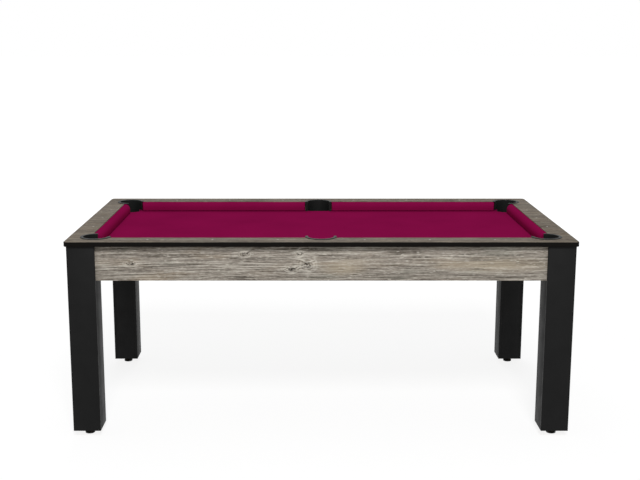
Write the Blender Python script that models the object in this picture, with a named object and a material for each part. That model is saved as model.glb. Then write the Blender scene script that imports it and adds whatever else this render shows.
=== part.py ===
"""A pool table that also serves as a dining table.

A slate bed under cloth, six rail cushions and six moulded drop pockets sit in an apron
frame on four box legs. Each leg stands on a screw foot that levels the table. Metres, +Z up,
+X along the table, the front is at -Y, and the origin is on the floor under the table's centre.
"""

import math

import bmesh
import bpy
from mathutils import Matrix, Vector

# Overall size
TABLE_LENGTH = 2.06
TABLE_WIDTH = 1.13
RAIL_TOP_HEIGHT = 0.823
# The gap left between two pieces that rest on each other or fit in each other
SEAT_GAP = 0.0003
# How far a cutting shape runs past what it cuts
CUT_OVERRUN = 0.01

# Rail board, the one-piece wooden top with its black edge band
BOARD_THICKNESS = 0.019
BOARD_CORNER_RADIUS = 0.018
EDGE_BAND_THICKNESS = 0.0015
LONG_RAIL_WOOD = 0.098
SHORT_RAIL_WOOD = 0.087
CORNER_STEPS = 6

# Apron frame
APRON_THICKNESS = 0.022
APRON_HEIGHT = 0.1425

# Box legs
LEG_LENGTH = 0.112
LEG_WIDTH = 0.120
LEG_WALL = 0.012
LEG_INSET = 0.010
LEG_LIFT = 0.027

# Slate bed, its cloth and the beams that carry it
BED_DEPTH = 0.043
CLOTH_THICKNESS = 0.0008
SLATE_THICKNESS = 0.019
SLATE_SIDE_GAP = 0.003
BEAM_WIDTH = 0.045
BEAM_HEIGHT = 0.050
BEAM_PLACE_SHARES = (-0.77, -0.27, 0.27, 0.77)

# Rail cushions and the wooden strips behind them
CUSHION_REACH = 0.032
CUSHION_TOP_DROP = 0.001
CUSHION_FOOT_GAP = 0.003
CORNER_FACING_RUN = 0.025
MIDDLE_FACING_RUN = 0.009
# The cushion's section: share of its reach from the wood, share of its height down from its top
CUSHION_SECTION_SHARES = (
    (0.0, 0.03),
    (0.10, 0.005),
    (0.32, 0.0),
    (0.54, 0.02),
    (0.72, 0.07),
    (0.86, 0.15),
    (0.95, 0.26),
    (0.99, 0.36),
    (1.0, 0.46),
    (0.99, 0.60),
    (0.96, 0.74),
    (0.91, 0.87),
    (0.86, 1.0),
    (0.0, 1.0),
)
STRIP_END_GAP = 0.007

# Drop pockets
CORNER_POCKET_END_INSET = 0.1105
CORNER_POCKET_SIDE_INSET = 0.115
CORNER_THROAT_RADIUS = 0.051
CORNER_DROP_RADIUS = 0.0485
CORNER_SPREAD = math.radians(122)
MIDDLE_POCKET_INSET = 0.114
MIDDLE_THROAT_RADIUS = 0.0525
MIDDLE_SHELF_REACH = 0.0085
MIDDLE_DROP_ROUNDING = 0.012
MIDDLE_SPREAD = math.radians(100)
POCKET_WALL = 0.003
POCKET_CLEARANCE = 0.002
CUP_DEPTH = 0.150
CUP_STEP = 0.0006
LEDGE_THICKNESS = 0.002
FLANGE_THICKNESS = 0.003
LIP_WIDTH = 0.012
LIP_HEIGHT = 0.0026
LIP_ROUNDING = 0.0016
THROAT_SIDES = 36
DROP_SIDES = 24

# Screw feet
FOOT_RADIUS = 0.020
FOOT_NECK_RADIUS = 0.011
FOOT_RIM_HEIGHT = 0.007
FOOT_HEIGHT = 0.014
FOOT_CHAMFER = 0.001
FOOT_SOCKET_DEPTH = 0.009
STEM_RADIUS = 0.005
STEM_SPARE = 0.018
HEX_WIDTH = 0.017
HEX_HEIGHT = 0.006
PLUG_HEIGHT = 0.022
INSERT_RADIUS = 0.008
FOOT_SIDES = 24

# Bolts that hold the legs to the aprons from inside the frame
BOLT_RADIUS = 0.004
BOLT_HEAD_WIDTH = 0.013
BOLT_HEAD_HEIGHT = 0.0055
BOLT_GRIP = 0.008
BOLT_CLEARANCE = 0.0004
BOLT_PLACE_SHARE = 0.5
BOLT_HEIGHT_SHARE = 0.62
BOLT_SIDES = 16

# What follows from the sizes above
HALF_LENGTH = TABLE_LENGTH / 2
HALF_WIDTH = TABLE_WIDTH / 2
BOARD_BOTTOM = RAIL_TOP_HEIGHT - BOARD_THICKNESS
APRON_TOP = BOARD_BOTTOM - SEAT_GAP
APRON_BOTTOM = APRON_TOP - APRON_HEIGHT
APRON_FACE_X = HALF_LENGTH - LEG_INSET - LEG_WALL - SEAT_GAP
APRON_FACE_Y = HALF_WIDTH - LEG_INSET - LEG_WALL - SEAT_GAP
APRON_BACK_X = APRON_FACE_X - APRON_THICKNESS
APRON_BACK_Y = APRON_FACE_Y - APRON_THICKNESS
CLOTH_TOP = RAIL_TOP_HEIGHT - BED_DEPTH
CLOTH_BOTTOM = CLOTH_TOP - CLOTH_THICKNESS
SLATE_TOP = CLOTH_BOTTOM - SEAT_GAP
SLATE_BOTTOM = SLATE_TOP - SLATE_THICKNESS
SLATE_HALF_LENGTH = APRON_BACK_X - SLATE_SIDE_GAP
SLATE_HALF_WIDTH = APRON_BACK_Y - SLATE_SIDE_GAP
PLAY_HALF_LENGTH = HALF_LENGTH - SHORT_RAIL_WOOD
PLAY_HALF_WIDTH = HALF_WIDTH - LONG_RAIL_WOOD
CORNER_POCKET_X = HALF_LENGTH - CORNER_POCKET_END_INSET
CORNER_POCKET_Y = HALF_WIDTH - CORNER_POCKET_SIDE_INSET
MIDDLE_POCKET_Y = HALF_WIDTH - MIDDLE_POCKET_INSET
CORNER_DROP_SHIFT = CORNER_THROAT_RADIUS - CORNER_DROP_RADIUS - CUP_STEP
LEG_CENTRE_X = HALF_LENGTH - LEG_INSET - LEG_LENGTH / 2
LEG_CENTRE_Y = HALF_WIDTH - LEG_INSET - LEG_WIDTH / 2
BOLT_Z = APRON_TOP - BOLT_HEIGHT_SHARE * APRON_HEIGHT

# Colour, roughness and metallic value of each finish
FINISHES = {
    "laminate": ((0.223, 0.191, 0.162), 0.55, 0.0),
    "black_edge": ((0.011, 0.010, 0.008), 0.45, 0.0),
    "black_lacquer": ((0.015, 0.015, 0.015), 0.40, 0.0),
    "cloth": ((0.195, 0.004, 0.048), 0.95, 0.0),
    "slate": ((0.060, 0.065, 0.070), 0.70, 0.0),
    "softwood": ((0.520, 0.360, 0.200), 0.70, 0.0),
    "black_plastic": ((0.012, 0.012, 0.012), 0.35, 0.0),
    "black_rubber": ((0.018, 0.018, 0.018), 0.75, 0.0),
    "zinc": ((0.560, 0.560, 0.550), 0.35, 1.0),
    "brass": ((0.600, 0.430, 0.180), 0.35, 1.0),
}

CORNERS = (
    ("front_left", -1, -1),
    ("front_right", 1, -1),
    ("back_right", 1, 1),
    ("back_left", -1, 1),
)


def clear_scene():
    for old in list(bpy.data.objects):
        bpy.data.objects.remove(old)


def make_material(name, finish):
    colour, roughness, metallic = FINISHES[finish]
    material = bpy.data.materials.new(name + "_" + finish)
    material.use_nodes = True
    shader = material.node_tree.nodes["Principled BSDF"]
    shader.inputs["Base Color"].default_value = (*colour, 1)
    shader.inputs["Roughness"].default_value = roughness
    shader.inputs["Metallic"].default_value = metallic
    return material


def add_piece(name, mesh, finish, place=(0, 0, 0), turn=0.0):
    """One real piece of the table, at its place and turned about Z."""
    piece = bpy.data.objects.new(name, mesh)
    bpy.context.scene.collection.objects.link(piece)
    piece.location = place
    piece.rotation_euler = (0, 0, turn)
    material = make_material(name, finish)
    if not mesh.materials:
        mesh.materials.append(material)
    piece.material_slots[0].link = "OBJECT"
    piece.material_slots[0].material = material
    return piece


def as_mesh(name, solid):
    """A mesh of the bmesh solid with its faces pointing out. The bmesh is freed."""
    mesh = bpy.data.meshes.new(name)
    bmesh.ops.recalc_face_normals(solid, faces=solid.faces)
    if solid.calc_volume(signed=True) < 0:
        bmesh.ops.reverse_faces(solid, faces=solid.faces)
    solid.to_mesh(mesh)
    solid.free()
    return mesh


def shaded_round(mesh):
    """The mesh of a round piece, shaded smooth with its real edges kept sharp."""
    mesh.shade_smooth()
    mesh.set_sharp_from_angle(angle=math.radians(35))
    return mesh


def boolean_mesh(name, base, steps):
    """The mesh left when each (operation, solid) pair has been applied to the base solid."""
    body = bpy.data.objects.new(name, as_mesh(name, base))
    helpers = [body]
    for operation, solid in steps:
        tool = bpy.data.objects.new(name + "_tool", as_mesh(name + "_tool", solid))
        helpers.append(tool)
        modifier = body.modifiers.new(operation.lower(), "BOOLEAN")
        modifier.operation = operation
        modifier.object = tool
    for helper in helpers:
        bpy.context.scene.collection.objects.link(helper)
    graph = bpy.context.evaluated_depsgraph_get()
    mesh = bpy.data.meshes.new_from_object(body.evaluated_get(graph))
    mesh.name = name
    for helper in helpers:
        bpy.data.objects.remove(helper)
    return mesh


def block(corner, opposite):
    """A solid block between two opposite corners."""
    low = Vector(map(min, corner, opposite))
    high = Vector(map(max, corner, opposite))
    solid = bmesh.new()
    place = Matrix.Translation((low + high) / 2) @ Matrix.Diagonal((*(high - low), 1))
    bmesh.ops.create_cube(solid, size=1, matrix=place)
    return solid


def prism(outline, bottom, top):
    """A solid that stands on an outline of (x, y) points."""
    solid = bmesh.new()
    base = solid.faces.new([solid.verts.new((x, y, bottom)) for x, y in outline])
    raised = bmesh.ops.extrude_face_region(solid, geom=[base])["geom"]
    lifted = [item for item in raised if isinstance(item, bmesh.types.BMVert)]
    bmesh.ops.translate(solid, vec=(0, 0, top - bottom), verts=lifted)
    return solid


def turned(profile, sides):
    """A solid turned about Z from (radius, height) points. An open profile has both ends on the axis."""
    solid = bmesh.new()
    points = [solid.verts.new((radius, 0, height)) for radius, height in profile]
    ring = all(radius > 0 for radius, _ in profile)
    follows = points[1:] + points[:1] if ring else points[1:]
    edges = [solid.edges.new(pair) for pair in zip(points, follows)]
    bmesh.ops.spin(
        solid,
        geom=points + edges,
        cent=(0, 0, 0),
        axis=(0, 0, 1),
        angle=2 * math.pi,
        steps=sides,
        use_merge=True,
    )
    bmesh.ops.remove_doubles(solid, verts=solid.verts, dist=SEAT_GAP / 100)
    return solid


def moved(solid, matrix):
    """The solid after a move or a turn."""
    solid.transform(matrix)
    return solid


def arc(centre_x, centre_y, radius, start, end, steps):
    """Points from one angle to the other, both ends included."""
    angles = [start + (end - start) * step / steps for step in range(steps + 1)]
    return [(centre_x + radius * math.cos(a), centre_y + radius * math.sin(a)) for a in angles]


def circle(centre_x, radius, sides):
    return arc(centre_x, 0, radius, 0, 2 * math.pi, sides)[:-1]


def hexagon(width):
    """A hexagon measured across its flats."""
    return circle(0, width / math.sqrt(3), 6)


def rectangle(half_x, half_y):
    return [(-half_x, -half_y), (half_x, -half_y), (half_x, half_y), (-half_x, half_y)]


def rounded_rectangle(half_x, half_y, radius):
    outline = []
    for quarter, (side_x, side_y) in enumerate(((1, 1), (-1, 1), (-1, -1), (1, -1))):
        start = quarter * math.pi / 2
        centre_x = side_x * (half_x - radius)
        centre_y = side_y * (half_y - radius)
        outline += arc(centre_x, centre_y, radius, start, start + math.pi / 2, CORNER_STEPS)
    return outline


def placed(outline, x, y, turn):
    """The outline turned about the origin and then shifted to (x, y)."""
    cosine, sine = math.cos(turn), math.sin(turn)
    return [(x + cosine * u - sine * v, y + sine * u + cosine * v) for u, v in outline]


def pocket_places():
    """Each pocket's name, kind, centre and outward direction."""
    places = []
    for corner, side_x, side_y in CORNERS:
        outward = math.atan2(side_y, side_x)
        places.append((corner, "corner", side_x * CORNER_POCKET_X, side_y * CORNER_POCKET_Y, outward))
    for side, side_y in (("front_middle", -1), ("back_middle", 1)):
        places.append((side, "middle", 0, side_y * MIDDLE_POCKET_Y, side_y * math.pi / 2))
    return places


def throat_radius(kind):
    return CORNER_THROAT_RADIUS if kind == "corner" else MIDDLE_THROAT_RADIUS


def drop_shift(kind):
    """How far outward the ledge begins, where the bed stops and the pocket's own wall takes over."""
    return CORNER_DROP_SHIFT if kind == "corner" else 0


def drop_outline(kind, growth):
    """The hole that a ball falls through, grown by a wall or a clearance. Outward is +X."""
    if kind == "corner":
        return circle(CORNER_DROP_SHIFT, CORNER_DROP_RADIUS + growth, DROP_SIDES)
    radius = MIDDLE_THROAT_RADIUS - CUP_STEP
    centre_x = MIDDLE_DROP_ROUNDING - MIDDLE_SHELF_REACH
    centre_y = math.sqrt((radius - MIDDLE_DROP_ROUNDING) ** 2 - centre_x**2)
    tangent = math.atan2(centre_y, centre_x)
    small = MIDDLE_DROP_ROUNDING + growth
    outline = arc(0, 0, radius + growth, -tangent, tangent, DROP_SIDES // 2)
    outline += arc(centre_x, centre_y, small, tangent, math.pi, CORNER_STEPS)[1:]
    outline += arc(centre_x, -centre_y, small, math.pi, 2 * math.pi - tangent, CORNER_STEPS)[:-1]
    return outline


def bed_notches(growth, bottom, top):
    """Solids that cut the six drop holes, open to the bed's edge, out of the slate or the cloth."""
    reach = TABLE_WIDTH / 4
    for _, kind, x, y, outward in pocket_places():
        half_gap = throat_radius(kind) + POCKET_WALL + SEAT_GAP + CUP_STEP
        start = drop_shift(kind) - SEAT_GAP - CUP_STEP
        channel = [(start, -half_gap), (reach, -half_gap), (reach, half_gap), (start, half_gap)]
        yield prism(placed(drop_outline(kind, growth), x, y, outward), bottom, top)
        yield prism(placed(channel, x, y, outward), bottom, top)


def sheet_with_notches(name, growth, bottom, top):
    steps = bed_notches(growth, bottom - CUT_OVERRUN, top + CUT_OVERRUN)
    base = prism(rectangle(SLATE_HALF_LENGTH, SLATE_HALF_WIDTH), bottom, top)
    return boolean_mesh(name, base, [("DIFFERENCE", cutter) for cutter in steps])


def add_bed():
    slate = sheet_with_notches("slate_bed", SEAT_GAP, SLATE_BOTTOM, SLATE_TOP)
    add_piece("slate_bed", slate, "slate")
    cloth = sheet_with_notches("bed_cloth", 0, CLOTH_BOTTOM, CLOTH_TOP)
    add_piece("bed_cloth", cloth, "cloth")


def add_beams():
    half = APRON_BACK_Y - SEAT_GAP
    top = SLATE_BOTTOM - SEAT_GAP
    for number, share in enumerate(BEAM_PLACE_SHARES, 1):
        name = f"slate_beam_{number}"
        beam = block((-BEAM_WIDTH / 2, -half, -BEAM_HEIGHT), (BEAM_WIDTH / 2, half, 0))
        add_piece(name, as_mesh(name, beam), "softwood", (share * HALF_LENGTH, 0, top))


def add_rail_board():
    half_x = HALF_LENGTH - EDGE_BAND_THICKNESS - SEAT_GAP
    half_y = HALF_WIDTH - EDGE_BAND_THICKNESS - SEAT_GAP
    radius = BOARD_CORNER_RADIUS - EDGE_BAND_THICKNESS - SEAT_GAP
    low, high = BOARD_BOTTOM - CUT_OVERRUN, RAIL_TOP_HEIGHT + CUT_OVERRUN
    field = rectangle(PLAY_HALF_LENGTH, PLAY_HALF_WIDTH)
    cuts = [("DIFFERENCE", prism(field, low, high))]
    for _, kind, x, y, outward in pocket_places():
        hole = circle(0, throat_radius(kind) + POCKET_WALL + POCKET_CLEARANCE, THROAT_SIDES)
        cuts.append(("DIFFERENCE", prism(placed(hole, x, y, outward), low, high)))
    board = prism(rounded_rectangle(half_x, half_y, radius), BOARD_BOTTOM, RAIL_TOP_HEIGHT)
    add_piece("rail_board", boolean_mesh("rail_board", board, cuts), "laminate")

    inside = rounded_rectangle(half_x + SEAT_GAP, half_y + SEAT_GAP, radius + SEAT_GAP)
    outside = rounded_rectangle(HALF_LENGTH, HALF_WIDTH, BOARD_CORNER_RADIUS)
    band = prism(outside, BOARD_BOTTOM, RAIL_TOP_HEIGHT - SEAT_GAP)
    ring = boolean_mesh("edge_band", band, [("DIFFERENCE", prism(inside, low, high))])
    add_piece("edge_band", ring, "black_edge")


def cushion_end(kind, pocket_from_wood):
    """How far from the pocket's centre a cushion's wood side ends, measured along the rail."""
    clear = throat_radius(kind) + POCKET_WALL + POCKET_CLEARANCE
    return math.sqrt(clear**2 - pocket_from_wood**2)


def rail_runs():
    """Each cushion's name, wood line, strip width, turn, start, end and its two facing runs."""
    corner_gap = CORNER_POCKET_SIDE_INSET - LONG_RAIL_WOOD
    long_far = CORNER_POCKET_X - cushion_end("corner", corner_gap)
    long_near = cushion_end("middle", MIDDLE_POCKET_INSET - LONG_RAIL_WOOD)
    corner_gap = CORNER_POCKET_END_INSET - SHORT_RAIL_WOOD
    short_far = CORNER_POCKET_Y - cushion_end("corner", corner_gap)
    long_rail = (PLAY_HALF_WIDTH, SLATE_HALF_WIDTH - PLAY_HALF_WIDTH)
    short_rail = (PLAY_HALF_LENGTH, SLATE_HALF_LENGTH - PLAY_HALF_LENGTH)
    corner, middle = CORNER_FACING_RUN, MIDDLE_FACING_RUN
    return (
        ("front_left", *long_rail, 0, -long_far, -long_near, corner, middle),
        ("front_right", *long_rail, 0, long_near, long_far, middle, corner),
        ("right_end", *short_rail, math.pi / 2, -short_far, short_far, corner, corner),
        ("back_right", *long_rail, math.pi, -long_far, -long_near, corner, middle),
        ("back_left", *long_rail, math.pi, long_near, long_far, middle, corner),
        ("left_end", *short_rail, 3 * math.pi / 2, -short_far, short_far, corner, corner),
    )


def cushion(start, end, start_run, end_run):
    """The cushion's section drawn out along the rail. Its two facings slant away from the pockets."""
    height = BED_DEPTH - CUSHION_TOP_DROP - CUSHION_FOOT_GAP
    reach = CUSHION_REACH - SEAT_GAP
    solid = bmesh.new()
    section = []
    for reach_share, drop_share in CUSHION_SECTION_SHARES:
        x = start + start_run * reach_share
        y = SEAT_GAP + reach * reach_share
        section.append(solid.verts.new((x, y, -CUSHION_TOP_DROP - height * drop_share)))
    drawn = bmesh.ops.extrude_face_region(solid, geom=[solid.faces.new(section)])["geom"]
    for point in [item for item in drawn if isinstance(item, bmesh.types.BMVert)]:
        point.co.x = end - end_run * (point.co.y - SEAT_GAP) / reach
    return solid


def add_rails():
    """The cushions, and the wooden strips that stand under the board behind them."""
    strip_bottom = CLOTH_TOP + SEAT_GAP
    strip_top = BOARD_BOTTOM - SEAT_GAP
    for name, wood_line, strip_width, turn, start, end, start_run, end_run in rail_runs():
        place = (wood_line * math.sin(turn), -wood_line * math.cos(turn), 0)
        cushion_mesh = as_mesh("cushion_" + name, cushion(start, end, start_run, end_run))
        cushion_mesh.shade_smooth()
        cushion_mesh.set_sharp_from_angle(angle=math.radians(40))
        raised = (place[0], place[1], RAIL_TOP_HEIGHT)
        add_piece("cushion_" + name, cushion_mesh, "cloth", raised, turn)
        strip_start, strip_end = start + STRIP_END_GAP, end - STRIP_END_GAP
        strip = block((strip_start, -strip_width, strip_bottom), (strip_end, 0, strip_top))
        add_piece("rail_strip_" + name, as_mesh("rail_strip_" + name, strip), "softwood", place, turn)


def pocket_mesh(kind, spread):
    """A moulded pocket: a horseshoe lip on the rail board, a throat, and the cup that holds the balls."""
    throat = throat_radius(kind)
    outer = throat + POCKET_WALL
    ledge_top = -BED_DEPTH + LEDGE_THICKNESS
    flange_top = SLATE_BOTTOM - SEAT_GAP - RAIL_TOP_HEIGHT
    flange_bottom = flange_top - FLANGE_THICKNESS
    lip_edge = throat + LIP_WIDTH
    lip_top = SEAT_GAP + LIP_HEIGHT
    above = lip_top + CUT_OVERRUN
    body = (
        (0, flange_bottom),
        (outer, flange_bottom),
        (outer, SEAT_GAP),
        (lip_edge, SEAT_GAP),
        (lip_edge, lip_top - LIP_ROUNDING),
        (lip_edge - LIP_ROUNDING, lip_top),
        (throat + LIP_ROUNDING, lip_top),
        (throat - CUP_STEP, lip_top - LIP_ROUNDING),
        (0, lip_top - LIP_ROUNDING),
    )
    reach = lip_edge + CUT_OVERRUN
    shift = drop_shift(kind)
    far = reach / math.cos(math.pi - spread)
    mouth = [(0, 0), *arc(0, 0, far, spread, 2 * math.pi - spread, DROP_SIDES // 4)]
    floor = -CUP_DEPTH + POCKET_WALL
    cup_top = flange_top - FLANGE_THICKNESS / 2
    steps = [
        ("UNION", prism(drop_outline(kind, POCKET_WALL), -CUP_DEPTH, cup_top)),
        ("DIFFERENCE", block((-reach, -reach, flange_top), (shift, reach, ledge_top + CUP_STEP))),
        ("DIFFERENCE", prism(drop_outline(kind, 0), floor, ledge_top + LEDGE_THICKNESS)),
        ("DIFFERENCE", prism(circle(0, throat, THROAT_SIDES), ledge_top, above)),
        ("DIFFERENCE", prism(mouth, ledge_top - CUP_STEP, above)),
    ]
    return shaded_round(boolean_mesh(kind + "_pocket", turned(body, THROAT_SIDES), steps))


def add_pockets():
    meshes = {
        "corner": pocket_mesh("corner", CORNER_SPREAD),
        "middle": pocket_mesh("middle", MIDDLE_SPREAD),
    }
    for name, kind, x, y, outward in pocket_places():
        add_piece("pocket_" + name, meshes[kind], "black_plastic", (x, y, RAIL_TOP_HEIGHT), outward)


def bolt_places():
    """Each bolt's name, its place on the back of its apron, and the direction that it points in."""
    for corner, side_x, side_y in CORNERS:
        along_x = side_x * (LEG_CENTRE_X + (BOLT_PLACE_SHARE - 1 / 2) * LEG_LENGTH)
        along_y = side_y * (LEG_CENTRE_Y + (BOLT_PLACE_SHARE - 1 / 2) * LEG_WIDTH)
        yield corner + "_side", along_x, side_y * APRON_BACK_Y, side_y * math.pi / 2
        yield corner + "_end", side_x * APRON_BACK_X, along_y, math.pi / 2 - side_x * math.pi / 2


def bolt_frame(x, y, direction):
    """A matrix that lays a bolt modelled upward along Z level, pointing in its direction."""
    level = Matrix.Rotation(math.pi / 2, 4, "Y")
    return Matrix.Translation((x, y, BOLT_Z)) @ Matrix.Rotation(direction, 4, "Z") @ level


def bolt_holes(clearance, depth):
    """Cutters for all the bolt holes, which run outward from the back faces of the aprons."""
    for _, x, y, direction in bolt_places():
        hole = prism(circle(0, BOLT_RADIUS + clearance, BOLT_SIDES), -CUT_OVERRUN, depth)
        yield "DIFFERENCE", moved(hole, bolt_frame(x, y, direction))


def add_bolts():
    length = APRON_THICKNESS + SEAT_GAP + BOLT_GRIP
    shank = prism(circle(0, BOLT_RADIUS, BOLT_SIDES), -BOLT_HEAD_HEIGHT / 2, length)
    head = prism(hexagon(BOLT_HEAD_WIDTH), -BOLT_HEAD_HEIGHT - SEAT_GAP, -SEAT_GAP)
    mesh = shaded_round(boolean_mesh("leg_bolt", head, [("UNION", shank)]))
    for name, x, y, direction in bolt_places():
        bolt = add_piece("leg_bolt_" + name, mesh, "zinc")
        bolt.matrix_world = bolt_frame(x, y, direction)


def add_aprons():
    """Two long aprons with two short ones between them. All four are drilled for the leg bolts."""
    gap = SEAT_GAP
    aprons = (
        ("apron_front", (-APRON_FACE_X, -APRON_FACE_Y), (APRON_FACE_X, -APRON_BACK_Y)),
        ("apron_back", (-APRON_FACE_X, APRON_BACK_Y), (APRON_FACE_X, APRON_FACE_Y)),
        ("apron_left", (-APRON_FACE_X, -APRON_BACK_Y + gap), (-APRON_BACK_X, APRON_BACK_Y - gap)),
        ("apron_right", (APRON_BACK_X, -APRON_BACK_Y + gap), (APRON_FACE_X, APRON_BACK_Y - gap)),
    )
    for name, low, high in aprons:
        board = block((*low, APRON_BOTTOM), (*high, APRON_TOP))
        holes = bolt_holes(BOLT_CLEARANCE, APRON_THICKNESS + LEG_WALL)
        add_piece(name, boolean_mesh(name, board, holes), "laminate")


def add_legs():
    """Hollow box legs. The two outer panels run up over the aprons, which stand on the two inner panels."""
    outer_x, outer_y = HALF_LENGTH - LEG_INSET, HALF_WIDTH - LEG_INSET
    inner_x, inner_y = outer_x - LEG_LENGTH, outer_y - LEG_WIDTH
    for corner, side_x, side_y in CORNERS:
        name = "leg_" + corner

        def at(x, y, z):
            return (side_x * x, side_y * y, z)

        leg = block(at(inner_x, inner_y, LEG_LIFT), at(outer_x, outer_y, APRON_TOP))
        hollow = block(
            at(inner_x + LEG_WALL, inner_y + LEG_WALL, LEG_LIFT - CUT_OVERRUN),
            at(outer_x - LEG_WALL, outer_y - LEG_WALL, APRON_TOP + CUT_OVERRUN),
        )
        seat = block(
            at(inner_x - CUT_OVERRUN, inner_y - CUT_OVERRUN, APRON_BOTTOM - SEAT_GAP),
            at(outer_x - LEG_WALL, outer_y - LEG_WALL, APRON_TOP + CUT_OVERRUN),
        )
        cuts = [("DIFFERENCE", hollow), ("DIFFERENCE", seat)]
        cuts += bolt_holes(BOLT_CLEARANCE, APRON_THICKNESS + 2 * SEAT_GAP + BOLT_GRIP)
        add_piece(name, boolean_mesh(name, leg, cuts), "black_lacquer")


def add_feet():
    """In each leg a plug with a threaded sleeve. Below it, a foot on a stem that screws up and down."""
    half_x = LEG_LENGTH / 2 - LEG_WALL - SEAT_GAP
    half_y = LEG_WIDTH / 2 - LEG_WALL - SEAT_GAP
    plug_block = prism(rectangle(half_x, half_y), 0, PLUG_HEIGHT)
    hole_outline = circle(0, INSERT_RADIUS + SEAT_GAP, FOOT_SIDES)
    hole = prism(hole_outline, -CUT_OVERRUN, PLUG_HEIGHT + CUT_OVERRUN)
    plug = boolean_mesh("leg_plug", plug_block, [("DIFFERENCE", hole)])
    bore = STEM_RADIUS + SEAT_GAP
    sleeve_section = (
        (bore, 0),
        (INSERT_RADIUS, 0),
        (INSERT_RADIUS, PLUG_HEIGHT),
        (bore, PLUG_HEIGHT),
    )
    sleeve = shaded_round(as_mesh("thread_sleeve", turned(sleeve_section, FOOT_SIDES)))
    socket_floor = FOOT_HEIGHT - FOOT_SOCKET_DEPTH
    foot_section = (
        (0, 0),
        (FOOT_RADIUS - FOOT_CHAMFER, 0),
        (FOOT_RADIUS, FOOT_CHAMFER),
        (FOOT_RADIUS, FOOT_RIM_HEIGHT),
        (FOOT_NECK_RADIUS, FOOT_HEIGHT),
        (bore, FOOT_HEIGHT),
        (bore, socket_floor),
        (0, socket_floor),
    )
    foot = shaded_round(as_mesh("foot_pad", turned(foot_section, FOOT_SIDES)))
    stem_top = LEG_LIFT + PLUG_HEIGHT + STEM_SPARE
    shaft = prism(circle(0, STEM_RADIUS, FOOT_SIDES), socket_floor + SEAT_GAP, stem_top)
    collar_bottom = FOOT_HEIGHT + SEAT_GAP
    collar = prism(hexagon(HEX_WIDTH), collar_bottom, collar_bottom + HEX_HEIGHT)
    stem = shaded_round(boolean_mesh("foot_stem", shaft, [("UNION", collar)]))
    for corner, side_x, side_y in CORNERS:
        x, y = side_x * LEG_CENTRE_X, side_y * LEG_CENTRE_Y
        add_piece("leg_plug_" + corner, plug, "softwood", (x, y, LEG_LIFT))
        add_piece("thread_sleeve_" + corner, sleeve, "brass", (x, y, LEG_LIFT))
        add_piece("foot_stem_" + corner, stem, "zinc", (x, y, 0))
        add_piece("foot_pad_" + corner, foot, "black_rubber", (x, y, 0))


def build_table():
    clear_scene()
    add_rail_board()
    add_rails()
    add_pockets()
    add_bed()
    add_beams()
    add_aprons()
    add_legs()
    add_bolts()
    add_feet()


build_table()
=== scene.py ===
# %% [markdown]
# # A pool table that also serves as a dining table
# The table stands about 0.82 m high and 2.06 m long. Its rigid pieces arrive as a fixed frame of
# solids in metres, with +X along the table, the viewer at -Y and +Z up. This lesson keeps each of
# those pieces where it is and gives it the shape and the finish that the eye expects: softened
# edges, cloth with a nap, weathered wood and moulded plastic.

# %% The fixed frame
import math

import bmesh
import bpy
from mathutils import Matrix, Vector, noise


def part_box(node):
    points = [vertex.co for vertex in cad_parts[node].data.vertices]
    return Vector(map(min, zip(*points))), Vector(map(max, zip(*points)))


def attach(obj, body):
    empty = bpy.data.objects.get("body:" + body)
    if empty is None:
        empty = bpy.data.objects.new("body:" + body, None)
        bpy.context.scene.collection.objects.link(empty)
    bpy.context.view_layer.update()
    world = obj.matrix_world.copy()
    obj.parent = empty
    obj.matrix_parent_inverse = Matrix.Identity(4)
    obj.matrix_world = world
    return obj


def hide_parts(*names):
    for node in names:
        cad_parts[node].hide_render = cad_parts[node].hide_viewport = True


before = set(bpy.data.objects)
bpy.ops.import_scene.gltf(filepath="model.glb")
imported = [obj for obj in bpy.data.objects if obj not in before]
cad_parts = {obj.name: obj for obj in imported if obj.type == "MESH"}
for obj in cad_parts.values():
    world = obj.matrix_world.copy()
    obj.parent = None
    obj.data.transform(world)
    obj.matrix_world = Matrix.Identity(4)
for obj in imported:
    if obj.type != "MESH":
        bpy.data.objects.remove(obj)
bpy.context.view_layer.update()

# %% [markdown]
# ## The camera
# A camera is matched to a photograph by its focal length in pixels, its tilt and its place. Here
# the lens points 11 degrees down with no turn to either side, and the photograph was trimmed a
# little off centre. A small horizontal shift says that without turning the camera, so upright legs
# keep the same lean on both sides.

# %% Camera
PHOTO_WIDTH = 640
FOCAL_PIXELS = 1073.9
OPTICAL_AXIS_PIXEL = 305.17
CAMERA_PLACE = (-0.0645, -4.7547, 1.6545)
CAMERA_TILT = math.radians(11.1)

bpy.ops.object.camera_add(location=CAMERA_PLACE, rotation=(math.pi / 2 - CAMERA_TILT, 0, 0))
camera = bpy.context.active_object
camera.name = "camera"
camera.data.sensor_width = 36
camera.data.lens = camera.data.sensor_width * FOCAL_PIXELS / PHOTO_WIDTH
camera.data.shift_x = (PHOTO_WIDTH / 2 - OPTICAL_AXIS_PIXEL) / PHOTO_WIDTH
camera.data.clip_start = 0.05
camera.data.clip_end = 200
bpy.context.scene.camera = camera
print("lens", round(camera.data.lens, 2), "mm, shift", round(camera.data.shift_x, 4))

# %% [markdown]
# ## Working as by hand
# Operators act on whatever is selected, so each piece begins with nothing selected and ends with
# its place applied to its mesh. The helpers below are the few moves that every piece here shares:
# choosing faces or edges by where they are, stamping one shape out of another, and softening edges.


# %% Selecting and naming
def deselect_all():
    if bpy.context.mode != "OBJECT":
        bpy.ops.object.mode_set(mode="OBJECT")
    bpy.ops.object.select_all(action="DESELECT")


def select_only(piece):
    deselect_all()
    piece.select_set(True)
    bpy.context.view_layer.objects.active = piece
    return piece


def name_new(name):
    """Names the object that was just added."""
    piece = bpy.context.active_object
    piece.name = name
    piece.data.name = name
    return piece


def apply_place(piece):
    select_only(piece)
    bpy.ops.object.transform_apply(location=True, rotation=True, scale=True)
    return piece


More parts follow.
